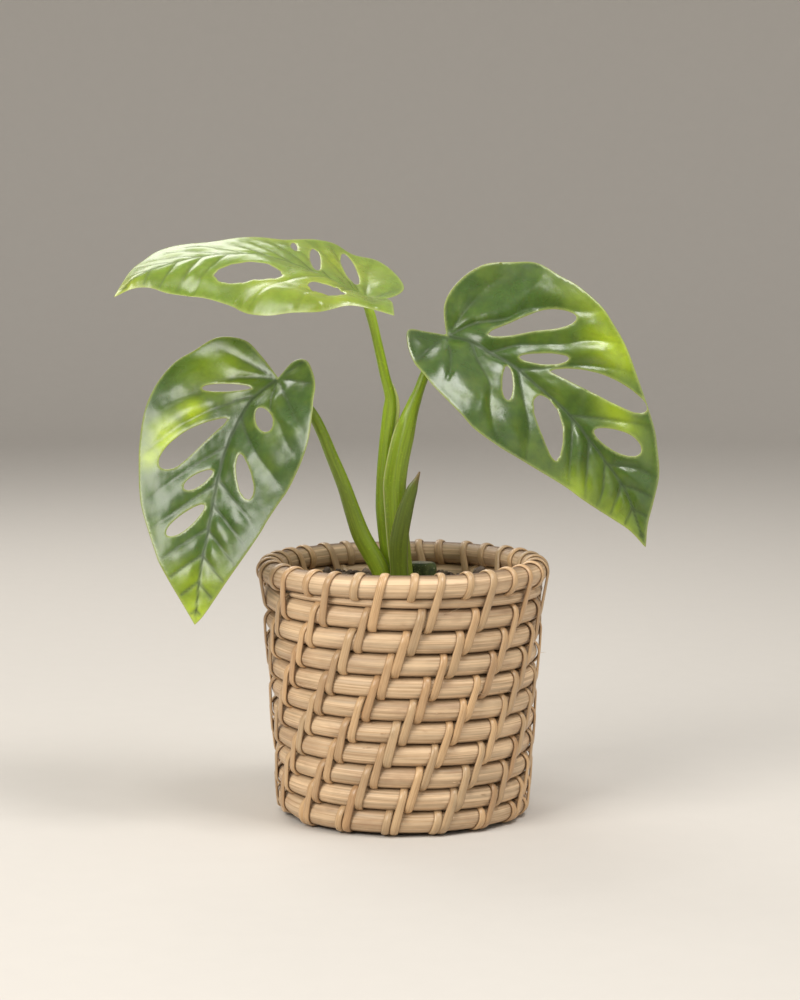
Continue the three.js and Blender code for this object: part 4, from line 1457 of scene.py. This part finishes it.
def shape_leaf(blade, flat, triangles, loops, settings):
    """Gives the flat mesh its bend, veins, quilting and thickness, and paints its values."""
    relief = Relief(blade, flat, loops, settings)
    rib, vein, rim = relief.rib, relief.vein, relief.rim
    normals = blade_normals(blade, flat)
    surface = bent(blade, flat, rim) - MIDDLE_DEPTH + relief.lift
    middle = blade.origin + np.column_stack([flat, surface]) @ blade.axes
    half = settings.thickness / 2 * (0.55 + 0.45 * smoothstep(0, 1.2 * MM, rim))
    groove = RIB_GROOVE * rib + VEIN_GROOVE * vein
    above = middle + normals * (half - groove)[:, None]
    below = middle - normals * (half + relief.ridge + VEIN_RIDGE * vein + groove)[:, None]
    edges, outward = open_edges(flat, triangles)
    border = sorted({corner for edge in edges for corner in edge})
    shift = np.column_stack([outward, np.zeros(len(flat))]) @ blade.axes
    outer = middle[border] + shift[border] * settings.thickness * 0.45
    count = len(flat)
    place = {corner: 2 * count + k for k, corner in enumerate(border)}
    faces = [tuple(t) for t in triangles.tolist()]
    faces += [tuple(t) for t in (triangles[:, ::-1] + count).tolist()]
    for first, last in edges:
        faces.append((last, first, place[first], place[last]))
        faces.append((count + first, count + last, place[last], place[first]))
    edge = 0.5 * np.exp(-((rim / EDGE_LINE) ** 2))
    # The vein and midrib values also carry painted groove shade, and the patch value carries painted light.
    top_values = {"vein": vein, "midrib": rib, "edge": edge, "patch": relief.patches(blade.node)}
    skin = Skin("vein", "midrib", "edge", "patch", "under")
    values = {}
    for name, value in top_values.items():
        under = value * 0.2 if name == "vein" else value
        values[name] = np.concatenate([value, under, value[border]])
    values["under"] = np.concatenate([np.zeros(count), np.ones(count), np.full(len(border), 0.5)])
    values["edge"][2 * count:] = 0.9
    skin.add(np.vstack([above, below, outer]), faces, **values)
    return skin


# ---- Operators ----------------------------------------------------------------------------
# The soft lights: place, width and height, share of the key light's power, and tint.
LIGHTS = {
    "key_light": ((-0.95, -1.0, 1.05), (0.9, 0.9), 1, (1, 0.97, 0.92)),
    "fill_light": ((1.5, -1.2, 0.7), (1.3, 1.3), 0.2, (0.93, 0.97, 1)),
    "back_light": ((-0.55, 1.0, 1.15), (1.0, 0.6), 0.4, (1, 0.98, 0.94)),
    "top_light": ((0.45, -0.35, 1.3), (0.5, 0.5), 0.45, (1, 0.98, 0.95)),
}
LIT_POINT = Vector((0, 0, 0.16))
ROOM_LIGHT = (1.0, 0.98, 0.95, 1)
ROOM_STRENGTH = 0.5
LENS, SENSOR = 101.5, 36
EYE_ASIDE = -0.00156


def soft_light(name, place, size, power, tint):
    """Adds one rectangular light that looks at the middle of the piece."""
    data = bpy.data.lights.new(name, "AREA")
    data.shape = "RECTANGLE"
    data.size, data.size_y = size
    data.energy = power
    data.color = tint
    light = bpy.data.objects.new(name, data)
    light.location = place
    light.rotation_euler = (LIT_POINT - light.location).to_track_quat("-Z", "Y").to_euler()
    bpy.context.scene.collection.objects.link(light)


class OBJECT_OT_vine_stage(bpy.types.Operator):
    """Set up the pale floor, the soft light and the camera"""

    bl_idname = "object.vine_stage"
    bl_label = "Stage, light and camera"
    bl_options = {"REGISTER", "UNDO"}

    @staticmethod
    def make_floor(rgb):
        """A round floor that curves up to a wall on every side."""
        flat, bend, tall, sides = 2.2, 0.9, 2.4, 96
        t = np.linspace(0, TURN / 4, 17)
        reach = np.concatenate([[0.5], flat + bend * np.sin(t), [flat + bend]])
        height = np.concatenate([[0], bend - bend * np.cos(t), [tall]])
        rings = polar(reach[:, None], circle(sides)[1], height[:, None])
        faces = [tuple(range(sides))]
        for k in range(len(reach) - 1):
            for j in range(sides):
                near, far = k * sides, (k + 1) * sides
                following = (j + 1) % sides
                faces.append((near + j, far + j, far + following, near + following))
        mesh = bpy.data.meshes.new("floor_sweep")
        mesh.from_pydata(rings.reshape(-1, 3).tolist(), [], faces)
        mesh.shade_smooth()
        floor = bpy.data.objects.new("floor_sweep", mesh)
        bpy.context.scene.collection.objects.link(floor)
        mesh.materials.append(plain_finish("pale_floor", rgb))

    def execute(self, context):
        settings = context.scene.vine_stage
        self.make_floor(settings.floor_colour)
        for name, (place, size, share_of_key, tint) in LIGHTS.items():
            soft_light(name, place, size, settings.key_power * share_of_key, tint)
        world = bpy.data.worlds.new("soft_room")
        world.use_nodes = True
        background = world.node_tree.nodes["Background"]
        background.inputs["Color"].default_value = ROOM_LIGHT
        background.inputs["Strength"].default_value = ROOM_STRENGTH
        context.scene.world = world
        context.scene.view_settings.view_transform = "Standard"
        data = bpy.data.cameras.new("camera")
        data.sensor_width = SENSOR
        data.lens = LENS
        camera = bpy.data.objects.new("camera", data)
        camera.location = (EYE_ASIDE, -settings.eye_distance, settings.eye_height)
        camera.rotation_euler = (math.pi / 2 - settings.look_down, 0, 0)
        context.scene.collection.objects.link(camera)
        context.scene.camera = camera
        return {"FINISHED"}


class OBJECT_OT_vine_canes(bpy.types.Operator):
    """Coil the basket's wall, rim and bottom from peeled cane"""

    bl_idname = "object.vine_canes"
    bl_label = "Basket canes"
    bl_options = {"REGISTER", "UNDO"}

    def execute(self, context):
        cane = context.scene.vine_cane
        material = cane_finish(cane)
        wall = Wall(cane)
        coil = Skin("grain", "seam")
        wall_cane(coil, wall)
        frayed_fibres(coil, wall)
        coil.piece("visual_wall_coil", material, "cane", ["wall_coil"])
        hoop = Skin("grain", "seam")
        rim_cane(hoop, cane)
        hoop.piece("visual_rim_hoop", material, "cane", ["rim_hoop"])
        base = Skin("grain", "seam")
        base_canes(base, cane)
        base.piece("visual_base_coil", material, "cane", ["base_coil"])
        return {"FINISHED"}


class OBJECT_OT_vine_lashings(bpy.types.Operator):
    """Lash the canes together with flat strip"""

    bl_idname = "object.vine_lashings"
    bl_label = "Basket lashings"
    bl_options = {"REGISTER", "UNDO"}

    def execute(self, context):
        settings = context.scene.vine_lashing
        wall = Wall(context.scene.vine_cane)
        material = strip_finish(settings)
        stitches = Skin("grain", "seam", "tint")
        wraps = Skin("grain", "seam", "tint")
        lash_wall(stitches, wraps, wall, settings)
        lash_base(stitches, settings)
        long_nodes = sorted(name for name in NODES if name.startswith("lashing_"))
        short_nodes = sorted(name for name in NODES if name.startswith("rim_wrap_"))
        stitches.piece("visual_lashings", material, "lashing", long_nodes)
        wraps.piece("visual_rim_wraps", material, "lashing", short_nodes)
        return {"FINISHED"}


class OBJECT_OT_vine_soil(bpy.types.Operator):
    """Fill the basket with soil and scatter its crumbs"""

    bl_idname = "object.vine_soil"
    bl_label = "Soil"
    bl_options = {"REGISTER", "UNDO"}

    def execute(self, context):
        settings = context.scene.vine_soil
        soil = Skin("tint")
        soil_body(soil)
        soil_crumbs(soil, settings)
        soil.piece("visual_soil", soil_finish(settings), "soil", ["soil"])
        return {"FINISHED"}


class OBJECT_OT_vine_stems(bpy.types.Operator):
    """Grow the stalks with their sheaths, the bract and the old stump"""

    bl_idname = "object.vine_stems"
    bl_label = "Stalks, bract and stump"
    bl_options = {"REGISTER", "UNDO"}

    def execute(self, context):
        settings = context.scene.vine_stem
        green = settings.green
        tones = {
            "petiole_left": (toned(green, 0.9), "leaf_left"),
            "petiole_middle": (toned(green, 1.2), "leaf_top"),
            "petiole_right": (toned(green, 1.0), "leaf_right"),
        }
        for name, (tone, leaf) in tones.items():
            stalk = Stalk(name, settings.sides)
            joint = Blade.midrib(leaf)[0]
            stalk.extend(joint)
            skin = Skin("grain", "pale", "dry")
            stalk.add_to(skin, pale=self.shape_sheath(stalk) if name == "petiole_right" else 0.0)
            for degrees, *shape in WINGS.get(name, ()):
                stalk.wing(skin, math.radians(degrees), *shape)
            material = stalk_finish(name + "_skin", settings, tone)
            skin.piece("visual_" + name, material, "petiole", [name])
        self.make_bract(settings)
        self.make_stump()
        return {"FINISHED"}

    @staticmethod
    def shape_sheath(stalk):
        """Thins the sheath's left side to a blade with a pale edge, where the stalk is wide."""
        width = np.abs(stalk.sections[..., 0]).max(axis=1)
        sheathed = smoothstep(4.2 * MM, 5.6 * MM, width)[:, None]
        leftness = np.clip(-stalk.sections[..., 0] / width[:, None], 0, 1)
        thin = 1 - 0.82 * smoothstep(0.05, 0.8, leftness) * sheathed
        stalk.sections[..., 1] *= thin
        return smoothstep(0.86, 0.99, leftness) * sheathed * 0.9

    @staticmethod
    def make_bract(settings):
        """The papery bract with its dry tip and edges."""
        stalk = Stalk("bract", 5, steps=9)
        skin = Skin("grain", "pale", "dry")
        up = (stalk.way / stalk.way[-1])[:, None]
        edge = np.abs(stalk.sections[..., 0]) / np.abs(stalk.sections[..., 0]).max(axis=1)[:, None]
        dry = smoothstep(0.84, 1.0, up) * np.ones_like(edge) + 0.25 * smoothstep(0.93, 1, edge)
        pale = 0.35 * smoothstep(0.9, 1.0, edge) * (1 - up)
        stalk.add_to(skin, pale=pale, dry=dry)
        tone = toned(settings.green, 0.42)
        skin.piece("visual_bract", stalk_finish("bract_skin", settings, tone), "bract", ["bract"])

    @staticmethod
    def make_stump():
        """The old stem's blunt end, with its pale cut face."""
        low, high = (np.array(corner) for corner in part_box("stem_stump"))
        centre, half = (low + high) / 2, (high - low) / 2
        levels = refine(np.array(STUMP_PROFILE), 3, wraps=False)
        sides = 48
        ring = circle(sides)[0]
        squarish = np.sign(ring) * np.abs(ring) ** 0.8
        sections = squarish[None] * half[:2] * levels[:, 1, None, None]
        spots = np.concatenate([sections / 0.006, levels[:, :1, None] * np.ones((1, sides, 1))], axis=-1)
        sections *= (1 + 0.05 * waves(spots, 0.9, 51))[..., None]
        centres = np.tile(centre, (len(levels), 1))
        centres[:, 2] = low[2] + (high[2] - low[2]) * np.clip(levels[:, 0], 0, 1) - 0.4 * MM
        across = np.broadcast_to([1.0, 0, 0], centres.shape)
        through = np.broadcast_to([0, 1.0, 0], centres.shape)
        points, faces = sweep(centres, across, through, sections)
        skin = Skin("seam")
        # On the stump this mark holds the pale cut face, the stem's own colour.
        cut = np.repeat(smoothstep(0.985, 1.0, levels[:, 0]) * smoothstep(0.8, 0.6, levels[:, 1]), sides)
        skin.add(points, faces, seam=cut)
        skin.piece("visual_stem_stump", stump_finish(), "stump", ["stem_stump"])


class OBJECT_OT_vine_leaves(bpy.types.Operator):
    """Grow the three perforated leaves"""

    bl_idname = "object.vine_leaves"
    bl_label = "Leaves"
    bl_options = {"REGISTER", "UNDO"}

    def execute(self, context):
        settings = context.scene.vine_leaf
        deep, fresh = settings.deep, settings.fresh
        cool = (deep[0], deep[1], deep[2] * 1.6)
        bright = (deep[0] * 3.4, deep[1] * 2.5, deep[2] * 2.5)
        lit = (0.40, 0.46, 0.025)
        finishes = {
            "leaf_left": (leaf_finish("cool_leaf", settings, cool, fresh), "leaf_deep"),
            "leaf_right": (leaf_finish("deep_leaf", settings, deep, fresh), "leaf_deep"),
            "leaf_top": (leaf_finish("bright_leaf", settings, bright, lit), "leaf_bright"),
        }
        for node, (material, slot) in finishes.items():
            make_leaf(node, settings, material, slot)
        return {"FINISHED"}


class VIEW3D_PT_cheese_vine(bpy.types.Panel):
    """Makes the potted vine piece by piece"""

    bl_label = "Cheese Vine"
    bl_space_type = "VIEW_3D"
    bl_region_type = "UI"
    bl_category = "Cheese Vine"

    def draw(self, context):
        for operator, settings_name in STEPS:
            box = self.layout.box()
            box.operator(operator.bl_idname)
            settings = getattr(context.scene, settings_name)
            for name in settings.__annotations__:
                box.prop(settings, name)


SETTINGS = {
    "vine_stage": StageSettings,
    "vine_cane": CaneSettings,
    "vine_lashing": LashingSettings,
    "vine_soil": SoilSettings,
    "vine_stem": StemSettings,
    "vine_leaf": LeafSettings,
}
STEPS = [
    (OBJECT_OT_vine_stage, "vine_stage"),
    (OBJECT_OT_vine_canes, "vine_cane"),
    (OBJECT_OT_vine_lashings, "vine_lashing"),
    (OBJECT_OT_vine_soil, "vine_soil"),
    (OBJECT_OT_vine_stems, "vine_stem"),
    (OBJECT_OT_vine_leaves, "vine_leaf"),
]


def register():
    for name, group in SETTINGS.items():
        bpy.utils.register_class(group)
        setattr(bpy.types.Scene, name, PointerProperty(type=group))
    for operator, _ in STEPS:
        bpy.utils.register_class(operator)
    bpy.utils.register_class(VIEW3D_PT_cheese_vine)


def unregister():
    bpy.utils.unregister_class(VIEW3D_PT_cheese_vine)
    for operator, _ in reversed(STEPS):
        bpy.utils.unregister_class(operator)
    for name, group in reversed(SETTINGS.items()):
        delattr(bpy.types.Scene, name)
        bpy.utils.unregister_class(group)


def main():
    register()
    bpy.ops.object.vine_stage()
    bpy.ops.object.vine_canes()
    bpy.ops.object.vine_lashings()
    bpy.ops.object.vine_soil()
    bpy.ops.object.vine_stems()
    bpy.ops.object.vine_leaves()


if __name__ == "__main__":
    main()
